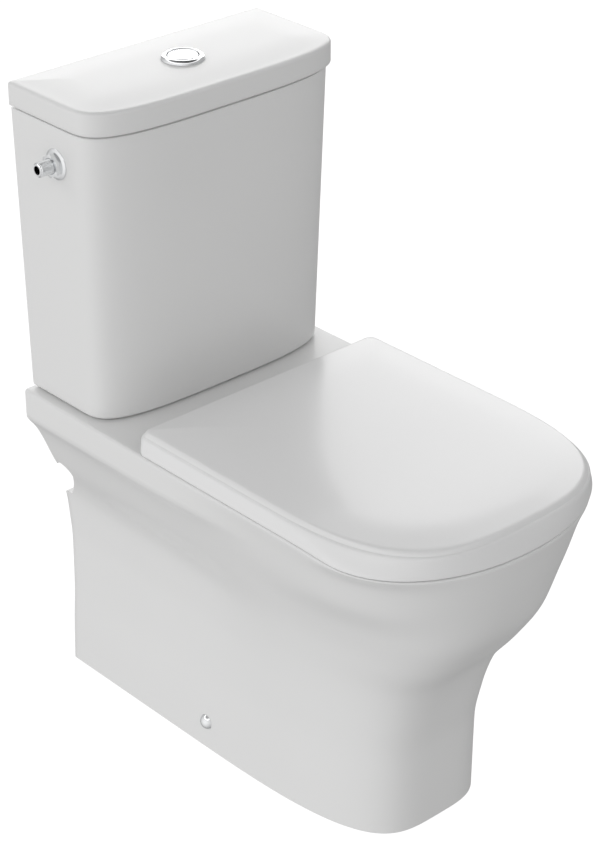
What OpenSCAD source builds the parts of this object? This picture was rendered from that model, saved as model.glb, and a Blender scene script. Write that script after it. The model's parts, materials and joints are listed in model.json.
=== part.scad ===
// Close coupled toilet: pan, cistern, flush and fill valves, soft-close seat and lid.
// Origin: on the floor, at the wall, on the centre line. +X is to the right of a person
// facing the toilet, -Y points away from the wall, +Z is up.

/* [Pan] */
// Height of the rim and deck above the floor
rim_h = 410; // [395:1:440]
// Width of the rim and deck
pan_w = 355.6; // [345:0.2:370]
// Distance from the wall to the front of the rim
pan_d = 646; // [630:1:690]
// Width of the foot on the floor
foot_w = 224; // [212:1:236]
// Distance from the wall to the front of the foot
foot_d = 525; // [505:1:545]
// Gap between the wall and the backs of the deck and cistern
wall_gap = 23; // [15:1:30]
// Height of the step where the lower skirt runs back to the wall
step_h = 243; // [225:1:250]
// Radius of the round bite above that step
notch_r = 12; // [10:0.5:14]
// Thickness of the vitreous china walls
china = 12; // [10:0.5:13]
// Thickness of the deck
deck_t = 15; // [12:0.5:18]
// Width of the bowl at the rim
bowl_w = 276; // [264:1:284]
// Length of the bowl at the rim
bowl_l = 332; // [320:1:340]
// Width of the rim's land in front of the bowl
rim_land = 36; // [34:1:44]
// Dip of the rim and of the seat lid's lower edge at the nose
nose_dip = 5; // [0:0.5:6]
// Depth of the bowl below the rim
bowl_depth = 304; // [290:1:310]
// Height of the outlet's axis above the floor
outlet_h = 180; // [178:1:190]
// Outer diameter of the outlet spigot
outlet_dia = 102; // [98:0.5:110]
// Distance from the wall to the end of the outlet spigot
outlet_back = 110; // [90:1:125]
// Bore of the trapway
trap_bore = 54; // [50:1:56]

/* [Cistern] */
// Height of the cistern from the deck to its open top
cistern_h = 344; // [330:1:370]
// Width of the cistern at its foot
cistern_foot_w = 333.6; // [325:1:340]
// Depth of the cistern at its foot
cistern_foot_d = 144.2; // [140:1:150]
// Width of the cistern's lid
lid_w = 354.8; // [350:1:362]
// Depth of the cistern's lid
lid_d = 158.8; // [155:1:166]
// Height of the cistern's lid
lid_h = 27; // [24:1:32]
// Rise of the cistern lid's crown above its edge
tank_crown = 3.4; // [2:0.2:4]
// Overhang of the lid past the cistern's top edge
lid_over = 3; // [1:0.5:4]
// Thickness of the cistern's walls
tank_wall = 10; // [8:0.5:11]
// Height of the hollow under the cistern's floor
tank_hollow = 23.4; // [23:0.2:28]
// Thickness of the cistern's floor
tank_floor = 12; // [10:0.5:14]
// Spacing of the two bolts that hold the cistern to the deck
bolt_pitch = 150; // [140:1:170]
// Diameter of the cistern bolts
bolt_dia = 8; // [6:0.5:9]

/* [Flush and fill] */
// Distance from the wall to the axis of the flush valve and buttons
valve_back = 104; // [98:0.5:106]
// Outer diameter of the flush valve's threaded tail
tail_dia = 57; // [54:0.5:59]
// Diameter of the button bezel
bezel_dia = 49.6; // [48:0.2:56]
// Height of the bezel above the lid
bezel_h = 4.8; // [3:0.2:6]
// Diameter of the pair of flush buttons
button_dia = 34.6; // [33:0.2:36]
// Travel of each flush button
button_travel = 6; // [4:0.5:7]
// Distance that the flush valve's tube lifts
valve_lift = 12; // [8:1:13]
// Height of the inlet above the deck
inlet_up = 299; // [285:1:305]
// Distance from the wall to the inlet's axis
inlet_back = 100; // [96:1:104]
// Outer diameter of the inlet's thread (3/8 inch)
inlet_dia = 16.66; // [16:0.02:21]
// Length of the inlet tail outside the cistern
inlet_out = 26; // [24:1:34]
// Diameter of the flange nut on the inlet
nut_flange_dia = 35; // [30:1:37]
// Resting slope of the float arm, below level
float_slope = 14; // [8:1:16]

/* [Seat] */
// Distance from the wall to the rear edge of the seat lid
lid_rear = 223; // [220:1:230]
// Height of the hinge axis above the deck
hinge_up = 18; // [17.6:0.1:20]
// Spacing of the two hinges
hinge_pitch = 155; // [145:1:160]
// Diameter of the hinge pins
pin_dia = 6.4; // [5.8:0.1:7]
// Radius of the hinge eyes
eye_r = 5.8; // [5.4:0.1:5.9]
// Gap between the deck and the bottom edge of the seat lid
lid_gap = 1.8; // [1.2:0.1:2.5]
// Height of the seat lid's upright edge above the deck
lid_band = 22.6; // [22:0.2:24]
// Rise of the seat lid's crown above its edge
lid_crown = 13; // [12:0.2:14]
// Thickness of the seat lid
lid_skin = 4; // [3:0.2:4.2]
// Gap between the rim and the underside of the seat ring
seat_gap = 4; // [3.5:0.1:4.5]
// Thickness of the seat ring
seat_t = 14; // [12:0.2:14.2]
// Width of the opening in the seat ring
seat_hole_w = 216; // [205:1:228]
// Length of the opening in the seat ring
seat_hole_l = 300; // [280:1:310]

/* [Fixings] */
// Distance from the wall to the floor fixings
fix_back = 252; // [235:1:270]
// Height of the side screws above the floor
fix_h = 36; // [32:1:42]
// Diameter of the chrome caps on the side screws
cap_dia = 19; // [17:0.5:22]
// Diameter of the side screws
screw_dia = 6; // [5:0.2:7]
// Diameter of each floor screw's hole
floor_hole = 7; // [6:0.2:8]

/* [Hidden] */

$fn = 64;
china_white = "whitesmoke";
// Clearance between parts that move past each other, and of a part that rests on another
free = 0.3;
// Radial clearance of a running fit
running = 0.05;
// Overlap that makes two shapes of one solid join, and that carries a cut past a face
lap = 1;

// Numbers of points along a plan outline: rear corner, side and nose
corner_n = 4;
side_n = 7;
nose_n = 12;

deck_y = -wall_gap;
deck_under = rim_h - deck_t;
side_stop = 0.81 * pan_d;
foot_stop = 0.346 * foot_d;
rim_full = 2.06;
foot_full = 3.78;

function mix(a, b, t) = a + (b - a) * t;
function smooth(t) = let(u = min(1, max(0, t))) u * u * (3 - 2 * u);
function mirrored(half) = concat(half, [for (i = [len(half) - 2 : -1 : 0]) [-half[i][0], half[i][1]]]);
function at_height(plan, z) = [for (p = plan) [p[0], p[1], z]];
// Dip of the rim and the seat lid's lower edge at a place Y
function dip(y) = nose_dip * smooth((-y / pan_d - 0.72) / 0.28);

// Plan outline with a flat back, round rear corners, straight sides and a curved nose.
// hw is half the width; rear, stop and front are Y values; e is the nose's fullness.
function d_half(hw, rear, stop, front, e, rc) = concat(
    [for (i = [0 : rc > 0 ? corner_n : 0]) let(a = 90 * i / corner_n)
        [-(hw - rc) - rc * sin(a), rear - rc + rc * cos(a)]],
    [for (i = [1 : side_n]) [-hw, mix(rear - rc, stop, i / side_n)]],
    [for (i = [1 : nose_n]) let(a = 90 * i / nose_n)
        [-hw * pow(cos(a), 2 / e), stop + (front - stop) * pow(sin(a), 2 / e)]]);
function d_ring(z, hw, rear, stop, front, e, rc, inset = 0) = at_height(mirrored(
    d_half(hw - inset, rear - inset, stop, front + inset, e, max(rc - inset, 0.5))), z);

// Superelliptic ring
function oval(z, hw, hl, y, e, n = 44) = [for (i = [0 : n - 1]) let(a = 360 * i / n)
    [hw * sign(cos(a)) * pow(abs(cos(a)), 2 / e),
     y + hl * sign(sin(a)) * pow(abs(sin(a)), 2 / e), z]];

// Closed skin over a stack of rings: the first is closed downwards, the last upwards
module skin(rings) {
    n = len(rings[0]);
    last = (len(rings) - 1) * n;
    sides = [for (r = [0 : len(rings) - 2]) for (i = [0 : n - 1])
        let(a = r * n + i, b = r * n + (i + 1) % n)
        each [[b + n, b, a], [a + n, b + n, a]]];
    polyhedron([for (ring = rings) each ring], concat(sides,
        [[for (i = [0 : n - 1]) i]], [[for (i = [n - 1 : -1 : 0]) last + i]]));
}

// Round bar between two points of the YZ plane
module bar(a, b, r, r2 = undef) {
    d = b - a;
    translate([0, a[0], a[1]])
        rotate([atan2(-d[0], d[1]), 0, 0])
            cylinder(h = norm(d), r1 = r, r2 = is_undef(r2) ? r : r2);
}
module across(h, r) { rotate([0, 90, 0]) cylinder(h = h, r = r, center = true); }
module tube(h, r, bore) {
    difference() {
        cylinder(h = h, r = r);
        translate([0, 0, -lap]) cylinder(h = h + 2 * lap, r = bore);
    }
}
module both_sides() { for (s = [-1, 1]) scale([s, 1, 1]) children(); }

// ---- Pan ----

// Half-width of the pan's side as a share of its overhang past the foot: under the deck,
// where a band stands out over a slanting face, and beside the bowl
rear_share = [[0, 0], [0.13, -0.03], [0.27, -0.08], [0.42, -0.09], [0.507, -0.05],
    [0.576, 0], [0.634, 0.11], [0.734, 0.43], [0.873, 0.82], [0.898, 0.94], [0.917, 1], [1, 1]];
bowl_share = [[0, 0], [0.24, 0], [0.366, 0.04], [0.488, 0.118], [0.61, 0.247],
    [0.732, 0.444], [0.854, 0.723], [0.951, 0.9], [1, 1]];
// Reach of the front and fullness of the nose over the height, as shares from foot to rim
front_share = [[0, 0], [0.24, 0.01], [0.366, 0.085], [0.488, 0.219], [0.61, 0.51],
    [0.732, 0.763], [0.854, 0.876], [0.951, 0.953], [1, 1]];
nose_share = [[0, 0], [0.45, 0.02], [0.61, 0.07], [0.732, 0.44], [0.854, 0.81],
    [0.951, 0.86], [1, 1]];
pan_levels = [0, 0.08, 0.16, 0.24, 0.3, 0.36, 0.42, 0.48, 0.54, 0.6, 0.66, 0.73, 0.8,
    0.87, 0.9, 0.925, 0.96];
band_end = 230;
band_fade = 190;
rear_chamfer = 2;
rim_round = 4;
// Where the dip of the rim fades out: down the side, as a share of the height, and inwards
dip_from = 0.7;
dip_land = 20;

function pan_half(z, inset) = let(
    u = z / rim_h,
    over = (pan_w - foot_w) / 2,
    rear_w = foot_w / 2 + over * lookup(u, rear_share) - inset,
    bowl_w = foot_w / 2 + over * lookup(u, bowl_share) - inset,
    nose = lookup(u, nose_share),
    stop = mix(foot_stop, side_stop, nose),
    front = mix(foot_d, pan_d, lookup(u, front_share)) - inset,
    e = mix(foot_full, rim_full, nose),
    plan = concat([[-0.99, -inset]], d_half(1, -inset - rear_chamfer, -stop, -front, e, 0)))
    [for (p = plan)
        [p[0] * mix(rear_w, bowl_w, smooth((-p[1] - band_end) / band_fade)), p[1]]];
function pan_ring(z, inset = 0) = let(fade = smooth((z / rim_h - dip_from) / 0.25))
    [for (p = mirrored(pan_half(z, inset))) [p[0], p[1], z - fade * dip(p[1])]];

module pan_shell() {
    top = rim_h - rim_round;
    skin(concat(
        [at_height(mirrored(pan_half(rim_h, china + rim_round)), deck_under)],
        [for (i = [len(pan_levels) - 2 : -1 : 0]) pan_ring(pan_levels[i] * rim_h, china)],
        [for (u = pan_levels) pan_ring(u * rim_h)],
        [pan_ring(top), pan_ring(rim_h - 0.3 * rim_round, 0.3 * rim_round),
            pan_ring(rim_h, rim_round),
            at_height(mirrored(pan_half(rim_h, dip_land)), rim_h)]));
}

// The bowl narrows and moves back towards the trap: [share of depth, of width, of length, back]
bowl_plan = [[0, 1, 1, 0], [0.1, 0.99, 0.99, 0], [0.2, 0.94, 0.95, 2], [0.33, 0.84, 0.86, 9],
    [0.47, 0.69, 0.72, 20], [0.6, 0.54, 0.56, 34], [0.72, 0.42, 0.42, 48],
    [0.85, 0.34, 0.31, 60], [0.95, 0.26, 0.24, 66], [1, 0.12, 0.12, 68]];
bowl_y = -(pan_d - rim_land - bowl_l / 2);
module bowl(grow, above) {
    floor_z = rim_h - bowl_depth - grow;
    skin(concat(
        [for (i = [len(bowl_plan) - 1 : -1 : 0]) let(b = bowl_plan[i])
            oval(mix(rim_h, floor_z, b[0]) , b[1] * bowl_w / 2 + grow,
                b[2] * bowl_l / 2 + grow, bowl_y + b[3], 2.4)],
        above > 0 ? [oval(rim_h + above, bowl_w / 2 + grow, bowl_l / 2 + grow, bowl_y, 2.4)] : []));
}

// The trapway rises from the bowl's sump over a weir and falls to the outlet.
// Its axis, as shares of the run from sump to outlet and of the weir's height
trap_axis = [[-0.06, -0.1], [0, 0], [0.18, 0.38], [0.34, 0.74], [0.43, 0.91], [0.51, 0.99],
    [0.59, 1], [0.67, 0.93], [0.76, 0.78], [0.86, 0.62], [0.95, 0.52], [1.03, 0.48]];
sump_y = bowl_y + 74;
trap_r = trap_bore / 2;
sump_z = rim_h - bowl_depth + trap_r + 1;
weir_up = 98;
outlet_r = outlet_dia / 2;
outlet_wall = 6;
spigot_l = 31;
outlet_start = -176;
trap_sides = 20;
module trapway(grow, run) {
    line = [for (p = trap_axis)
        [mix(sump_y, outlet_start, p[0]), sump_z + p[1] * weir_up]];
    last = len(line) - 1;
    skin([for (i = [0 : last])
        let(d = line[min(i + 1, last)] - line[max(i - 1, 0)],
            n = [-d[1], d[0]] / norm(d),
            r = trap_r + grow + (i > last - 4 ? 4 * (i - last + 4) : 0))
        [for (k = [0 : trap_sides - 1]) let(a = 360 * k / trap_sides)
            [r * sin(a), line[i][0] + r * cos(a) * n[0], line[i][1] + r * cos(a) * n[1]]]]);
    translate([0, outlet_start, outlet_h]) rotate([-90, 0, 0])
        cylinder(h = run - outlet_start - outlet_back, r = outlet_r - (grow > 0 ? 1 : outlet_wall));
    if (grow > 0) translate([0, -outlet_back - spigot_l, outlet_h]) rotate([-90, 0, 0])
        cylinder(h = spigot_l, r = outlet_r);
}

// Duct that carries the flush from the deck's inlet hole to the back of the bowl
valve_y = -valve_back;
flush_hole_r = tail_dia / 2 + 3.5;
duct_drop = 50;
module flush_duct(grow, above) {
    r = flush_hole_r - (grow > 0 ? -china : 2);
    duct_h = duct_drop - deck_t + 2 * grow;
    bottom = rim_h - duct_drop - grow;
    reach = -valve_y + bowl_y + bowl_l / 2 - 2;
    translate([0, valve_y, bottom]) cylinder(h = above - bottom, r = flush_hole_r + grow);
    translate([-r, valve_y + reach, bottom])
        cube([2 * r, -reach, min(duct_h, rim_h - 5 - bottom)]);
}

// The upper part stands off the wall. A round bite and a slope lead down from it to the
// skirt's ledge, which runs back to the wall with a rounded lip.
bite_back = 10;
bite_y = deck_y - bite_back;
bite_z = step_h + 4 * notch_r;
bite_from = acos(bite_back / notch_r);
slope_a = 35;
ledge_y = -15;
lip_r = 7;
module rear_step() {
    bite = [for (i = [0 : 14]) let(a = mix(bite_from, 180 + slope_a, i / 14))
        [bite_y + notch_r * cos(a), bite_z + notch_r * sin(a)]];
    lip = [for (a = [0 : 30 : 90]) [lip_r * (sin(a) - 1), step_h - lip_r * (1 - cos(a))]];
    rotate([90, 0, 90]) translate([0, 0, -pan_w]) linear_extrude(2 * pan_w)
        polygon(concat([[deck_y, 2 * rim_h]], bite, [[ledge_y, step_h]], lip,
            [[lap, step_h - lip_r], [lap, 2 * rim_h]]));
}

bolt_x = bolt_pitch / 2;
bolt_hole_r = bolt_dia / 2 + 2.5;
hinge_x = hinge_pitch / 2;
stud_r = 4;
stud_hole_r = stud_r + 2.5;
stud_y = -20.5;
hinge_y = -lid_rear - 17;
hinge_z = rim_h + hinge_up;
fix_face = foot_w / 2 - 1.4;
module pan_holes() {
    both_sides() {
        translate([bolt_x, valve_y, deck_under - lap])
            cylinder(h = deck_t + 2 * lap, r = bolt_hole_r);
        translate([hinge_x, hinge_y + stud_y, deck_under - lap])
            cylinder(h = deck_t + 2 * lap, r = stud_hole_r);
        translate([fix_face - china, -fix_back, fix_h]) across(2.5 * china, screw_dia / 2 + 1);
        translate([fix_face, -fix_back, fix_h])
            rotate([0, 90, 0]) cylinder(h = china, r = cap_dia / 2 + 1.5);
    }
}
module pan() {
    back_w = 2 * (foot_w / 2 - 0.09 * (pan_w - foot_w) / 2 - china);
    color(china_white) difference() {
        union() {
            difference() {
                pan_shell();
                translate([-back_w / 2, -2 * china, -lap])
                    cube([back_w, 3 * china, deck_under + lap]);
            }
            bowl(china, 0);
            trapway(9, 0);
            flush_duct(china, rim_h - 5);
        }
        bowl(0, lap);
        trapway(0, lap);
        flush_duct(0, rim_h + lap);
        rear_step();
        pan_holes();
    }
}

// ---- Cistern ----

tank_z = rim_h + 0.6;
tank_top = tank_z + cistern_h;
base_z = tank_z + tank_hollow;
floor_z = base_z + tank_floor;
tank_round = 4;
// Where the straight sides end, as a share of the depth, and the fullness of the front
tank_stop = 0.615;
tank_full = 3.4;

function tank_hw(z) = mix(cistern_foot_w / 2, lid_w / 2 - lid_over, (z - tank_z) / cistern_h);
function tank_ring(z, inset = 0) = let(
    t = (z - tank_z) / cistern_h,
    depth = mix(cistern_foot_d, lid_d - lid_over, t))
    d_ring(z, tank_hw(z), deck_y, deck_y - tank_stop * depth, deck_y - depth, tank_full, 3, inset);

inlet_y = -inlet_back;
inlet_z = rim_h + inlet_up;
inlet_face = tank_hw(inlet_z) - 0.4;
inlet_hole_r = inlet_dia / 2 + 1;
module cistern() {
    color(china_white) difference() {
        skin([
            tank_ring(base_z, tank_wall),
            tank_ring(tank_z, tank_wall - 1),
            tank_ring(tank_z, tank_round),
            tank_ring(tank_z + 0.3 * tank_round, 0.3 * tank_round),
            tank_ring(tank_z + tank_round, 0),
            tank_ring(tank_top - 1.5, 0),
            tank_ring(tank_top, 1.5),
            tank_ring(tank_top, tank_wall - 1.5),
            tank_ring(tank_top - 1.5, tank_wall),
            tank_ring(floor_z + 2 * tank_round, tank_wall),
            tank_ring(floor_z + 0.6 * tank_round, tank_wall + 0.6 * tank_round),
            tank_ring(floor_z, tank_wall + 2 * tank_round)]);
        translate([0, valve_y, base_z - lap]) cylinder(h = tank_floor + 2 * lap, r = tail_dia / 2 + 1);
        both_sides()
            translate([bolt_x, valve_y, base_z - lap])
                cylinder(h = tank_floor + 2 * lap, r = bolt_dia / 2 + 1);
        translate([-inlet_face, inlet_y, inlet_z]) across(3 * tank_wall, inlet_hole_r);
        translate([-inlet_face - tank_wall, inlet_y, inlet_z])
            rotate([0, 90, 0]) cylinder(h = tank_wall, r = nut_flange_dia / 2 + 0.7);
        translate([tank_wall - inlet_face, inlet_y, inlet_z])
            rotate([0, 90, 0]) cylinder(h = tank_wall, r = washer_r + 1);
    }
}

lid_z = tank_top + 0.5;
lid_top = lid_z + lid_h;
crown_top = lid_top + tank_crown;
lid_plate = 11;
lid_rim = 14;
lip_h = 7;
lip_t = 5;
lip_inset = lid_over + tank_wall + 2.5;
barrel_r = 19.6;
function lid_ring(z, inset = 0) =
    d_ring(z, lid_w / 2, deck_y, deck_y - tank_stop * lid_d, deck_y - lid_d, 3.64, 4, inset);
module cistern_lid() {
    color(china_white) difference() {
        skin([
            lid_ring(lid_top - lid_plate, lip_inset + lip_t + 2),
            lid_ring(lid_z - lip_h, lip_inset + lip_t),
            lid_ring(lid_z - lip_h, lip_inset),
            lid_ring(lid_z, lip_inset),
            lid_ring(lid_z, 1),
            lid_ring(lid_z + 1, 0),
            lid_ring(lid_top - 5.5, 0.2),
            lid_ring(lid_top - 2.6, 1.2),
            lid_ring(lid_top - 1, 3.6),
            lid_ring(lid_top, 9),
            lid_ring(lid_top + 0.6 * tank_crown, 28),
            lid_ring(crown_top, 50)]);
        translate([0, valve_y, lid_z]) cylinder(h = 2 * lid_h, r = barrel_r + 0.6);
    }
}
// Soft pads stuck under the lid, which rest on the cistern's edge
pad_h = lid_z - tank_top;
module lid_pads() {
    color("gainsboro") both_sides() for (y = [-60, -110])
        translate([lid_w / 2 - lid_over - tank_wall + 2, y - 6, tank_top])
            cube([tank_wall - 4, 12, pad_h]);
}

// ---- Flush buttons ----

bezel_top = crown_top + bezel_h;
well_r = button_dia / 2 + 0.5;
button_top = bezel_top - 0.6;
shelf_z = lid_z - 4;
barrel_wall = 1.6;
rod_x = 8.5;
rod_r = 2.6;
rod_end = tank_top - 48.6;
button_t = 3;
split = 0.6;
module button_bezel() {
    color("silver") translate([0, valve_y, crown_top]) difference() {
        rotate_extrude() polygon([
            [well_r, 0], [bezel_dia / 2, 0], [bezel_dia / 2, 0.8],
            [bezel_dia / 2 - 1.6, 0.72 * bezel_h], [bezel_dia / 2 - 4, bezel_h],
            [well_r + 1.2, bezel_h], [well_r, bezel_h - 1]]);
    }
}
module button_barrel() {
    color("white") translate([0, valve_y, 0]) {
        translate([0, 0, shelf_z]) difference() {
            tube(crown_top - shelf_z, barrel_r, well_r);
        }
        translate([0, 0, shelf_z]) difference() {
            cylinder(h = 2, r = well_r + 0.2);
            for (s = [-1, 1])
                translate([s * rod_x, 0, -lap]) cylinder(h = 4, r = rod_r + 0.4);
        }
    }
}
module barrel_nut() {
    plate_under = lid_top - lid_plate;
    color("white") translate([0, valve_y, plate_under - 7]) difference() {
        union() {
            cylinder(h = 7, r = barrel_r + 5);
            translate([0, 0, 5]) cylinder(h = 2, r = barrel_r + 8);
        }
        translate([0, 0, -lap]) cylinder(h = 9, r = barrel_r + running);
    }
}
module half_disc(side, h, r) {
    intersection() {
        cylinder(h = h, r = r);
        translate([side > 0 ? split / 2 : -2 * r - split / 2, -r, -lap]) cube([2 * r, 2 * r, h + 2 * lap]);
    }
}
// Shallow domed top with a short skirt, cut in two halves for the two flushes
module flush_button(side) {
    dome_r = 120;
    r = button_dia / 2;
    color("silver") translate([0, valve_y, button_top - 8]) difference() {
        intersection() {
            half_disc(side, 8 + 2, r);
            translate([0, 0, 8 + 1.2 - dome_r]) sphere(r = dome_r, $fn = 128);
        }
        translate([side * rod_x, 0, -lap]) cylinder(h = 4 + lap, r = rod_r + running);
        translate([side * rod_x, 0, -lap]) cylinder(h = 3, r = 5.2);
    }
}
module flush_rod(side) {
    color("whitesmoke") translate([side * rod_x, valve_y, rod_end]) {
        cylinder(h = button_top - 4.1 - rod_end, r = rod_r);
        translate([0, 0, -4]) cylinder(h = 4, r1 = rod_r - 1, r2 = rod_r);
    }
}
// Return spring of round wire, between the barrel's shelf and the button
wire_r = 0.5;
spring_r = 4.2;
turns = 5;
spring_sides = 6;
spring_steps = 12;
module button_spring(side) {
    z0 = shelf_z + 2 + wire_r;
    z1 = button_top - 8 + 2 - wire_r;
    steps = turns * spring_steps;
    rings = [for (i = [0 : steps])
        let(a = 360 * i / spring_steps, z = mix(z0, z1, i / steps))
        [for (k = [0 : spring_sides - 1]) let(b = -360 * k / spring_sides,
            r = spring_r + wire_r * cos(b))
            [r * cos(a), r * sin(a), z + wire_r * sin(b)]]];
    color("gray") translate([side * rod_x, valve_y, 0]) skin(rings);
}

// ---- Flush valve ----

tail_r = tail_dia / 2;
valve_bore = 24;
washer_t = 3;
flange_z = floor_z + washer_t;
flange_t = 6;
seat_z = flange_z + flange_t;
tail_end = deck_under + 3;
nut_t = 8;
cage_r = 36;
cage_h = 84;
cage_wall = 2.5;
overflow_r = 13;
tower_top = tank_top - 44.6;
tower_x = 20;
seal_t = 3;
module flush_valve_body() {
    lower = tower_top - 6;
    color("white") translate([0, valve_y, 0]) difference() {
        union() {
            translate([0, 0, tail_end]) cylinder(h = seat_z - tail_end, r = tail_r);
            translate([0, 0, flange_z]) cylinder(h = flange_t, r = 42);
            translate([0, 0, seat_z]) tube(cage_h, cage_r, cage_r - cage_wall);
            translate([0, 0, seat_z + cage_h - 4]) cylinder(h = 4, r = cage_r);
            for (s = [-1, 1])
                translate([s * tower_x - 2, -14, seat_z + cage_h - 2])
                    cube([4, 28, lower - seat_z - cage_h + 4]);
            translate([-tower_x - 2, -14, lower]) cube([2 * tower_x + 4, 28, 6]);
        }
        translate([0, 0, tail_end - lap]) cylinder(h = seat_z - tail_end + 2 * lap, r = valve_bore);
        translate([0, 0, seat_z + cage_h - 5]) cylinder(h = 6, r = overflow_r + free);
        for (a = [0 : 60 : 300]) rotate([0, 0, a])
            translate([cage_r - 6, -11, seat_z + 12]) cube([12, 22, 54]);
        for (s = [-1, 1])
            translate([s * rod_x, 0, lower - lap]) cylinder(h = 8, r = rod_r + free);
    }
}
module flush_valve_washer() {
    color("dimgray") translate([0, valve_y, floor_z]) tube(washer_t, 41, tail_r + 0.2);
}
module flush_valve_nut() {
    color("white") translate([0, valve_y, base_z - nut_t]) difference() {
        union() {
            cylinder(h = nut_t, r = tail_r + 6);
            for (a = [0 : 45 : 315]) rotate([0, 0, a])
                translate([tail_r + 4, -3, 0]) cube([5, 6, nut_t]);
        }
        translate([0, 0, -lap]) cylinder(h = nut_t + 2 * lap, r = tail_r + running);
    }
}
module doughnut_seal() {
    h = base_z - nut_t - rim_h;
    color("dimgray") translate([0, valve_y, rim_h]) rotate_extrude() polygon([
        [tail_r + 0.4, 0], [tail_r + 17, 0], [tail_r + 20, 3], [tail_r + 20, h - 3],
        [tail_r + 17, h], [tail_r + 0.4, h]]);
}
overflow_top = rod_end - button_travel - valve_lift - 12;
module overflow_tube() {
    z0 = seat_z + seal_t;
    color("white") translate([0, valve_y, 0]) difference() {
        union() {
            translate([0, 0, z0]) cylinder(h = overflow_top - z0, r = overflow_r);
            translate([0, 0, z0]) cylinder(h = 5, r = valve_bore + 3);
            translate([0, 0, z0 + 5]) cylinder(h = 12, r1 = valve_bore, r2 = overflow_r);
            translate([0, 0, overflow_top - 8]) cylinder(h = 8, r = overflow_r + 1.5);
        }
        translate([0, 0, z0 - lap]) cylinder(h = overflow_top - z0 + 2 * lap, r = overflow_r - 2);
    }
}
module valve_seal() {
    color("dimgray") translate([0, valve_y, seat_z]) tube(seal_t, valve_bore + 5, overflow_r - 2);
}

// ---- Cistern bolts ----

bolt_r = bolt_dia / 2;
bolt_len_under = 22;
module at_bolts(z) { both_sides() translate([bolt_x, valve_y, z]) children(); }
module cistern_bolts() {
    head = floor_z + 3;
    bottom = deck_under - bolt_len_under;
    color("goldenrod") at_bolts(bottom) {
        cylinder(h = head - bottom, r = bolt_r);
        translate([0, 0, head - bottom]) cylinder(h = 4, r = bolt_r + 6);
    }
}
module bolt_washers() {
    color("dimgray") at_bolts(floor_z) tube(3, bolt_r + 7, bolt_r + 0.2);
}
module bolt_plates() {
    color("silver") at_bolts(deck_under - 2) tube(2, bolt_r + 8, bolt_r + 0.2);
}
module bolt_nuts() {
    color("goldenrod") at_bolts(deck_under - 10) wing_nut(8, bolt_r);
}
module wing_nut(h, r) {
    difference() {
        union() {
            cylinder(h = h, r = r + 3.5);
            for (s = [-1, 1])
                translate([s * (r + 7) - 5, -1.5, h - 12]) cube([10, 3, 10]);
        }
        translate([0, 0, -lap]) cylinder(h = h + 2 * lap, r = r + running);
    }
}

// ---- Fill valve ----

inlet_r = inlet_dia / 2;
inlet_bore = 5;
washer_r = 15;
body_in = inlet_face - tank_wall - 3;
body_r = 14;
body_end = body_in - 42;
collar_out = 9.5;
// Threaded length that a hose nut runs on, up to a run-out groove
thread_l = 14.4;
module on_inlet(x) { translate([-x, inlet_y, inlet_z]) rotate([0, 90, 0]) children(); }
module inlet_tail() {
    color("silver") on_inlet(inlet_face + inlet_out) difference() {
        union() {
            cylinder(h = 1.6, r1 = inlet_r - 1.2, r2 = inlet_r);
            translate([0, 0, 1.6]) cylinder(h = thread_l, r = inlet_r);
            translate([0, 0, thread_l]) cylinder(h = 4, r = inlet_r - 0.7);
            translate([0, 0, thread_l + 3.2])
                cylinder(h = inlet_out + tank_wall + 12 - thread_l - 3.2, r = inlet_r);
        }
        translate([0, 0, -lap])
            cylinder(h = inlet_out + tank_wall + 14, r = inlet_bore);
    }
}
module inlet_nut() {
    color("silver") on_inlet(inlet_face + collar_out) difference() {
        union() {
            cylinder(h = collar_out - 2.5, r = 13.6, $fn = 6);
            translate([0, 0, collar_out - 2.6]) cylinder(h = 2.6, r = nut_flange_dia / 2);
        }
        translate([0, 0, -lap]) cylinder(h = collar_out + 2 * lap, r = inlet_r + running);
    }
}
module inlet_washer() {
    color("dimgray") on_inlet(inlet_face - tank_wall) tube(3, washer_r, inlet_r + 0.2);
}
float_pivot = [-(body_end - 6), inlet_y, inlet_z + 10];
module fill_valve_body() {
    shank = 9;
    color("white") difference() {
        union() {
            on_inlet(body_in) {
                cylinder(h = body_in - body_end, r = body_r);
                cylinder(h = 3, r = washer_r);
            }
            for (s = [-1, 1])
                translate([-body_end - 1, inlet_y + s * 6.5 - 1.5, inlet_z + 2]) cube([13, 3, 13]);
            translate([-body_end - 14, inlet_y, inlet_z - 19]) cylinder(h = 12, r = 9);
        }
        on_inlet(body_in + lap) cylinder(h = shank + lap + 0.2, r = inlet_r + running);
        on_inlet(body_in + lap) cylinder(h = 34, r = inlet_bore);
        translate([-body_end - 14, inlet_y, inlet_z - 20]) cylinder(h = 13, r = 6 + running);
        translate(float_pivot) rotate([90, 0, 0]) cylinder(h = 20, r = 1.5 + running, center = true);
    }
}
module fill_tube() {
    color("white") translate([-body_end - 14, inlet_y, floor_z + 12])
        tube(inlet_z - 8 - floor_z - 12, 6, 4.2);
}
module float_pin() {
    color("silver") translate(float_pivot) rotate([90, 0, 0]) cylinder(h = 17, r = 1.5, center = true);
}
module on_float() { translate(float_pivot) rotate([0, float_slope, 0]) children(); }
float_box = [44, 62, 38];
float_far = 22;
module float_arm() {
    color("white") on_float() difference() {
        union() {
            rotate([90, 0, 0]) cylinder(h = 9, r = 4.2, center = true);
            translate([0, -3, -1.5]) cube([float_far + 30, 6, 3]);
        }
        rotate([90, 0, 0]) cylinder(h = 12, r = 1.5 + running, center = true);
    }
}
module float() {
    color("lightgray") on_float() difference() {
        translate([float_far, -float_box[1] / 2, -1.5 - float_box[2]]) cube(float_box);
        translate([float_far + 3, 3 - float_box[1] / 2, -4.5 - float_box[2]])
            cube([float_box[0] - 6, float_box[1] - 6, float_box[2]]);
    }
}

// ---- Seat ----

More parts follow.
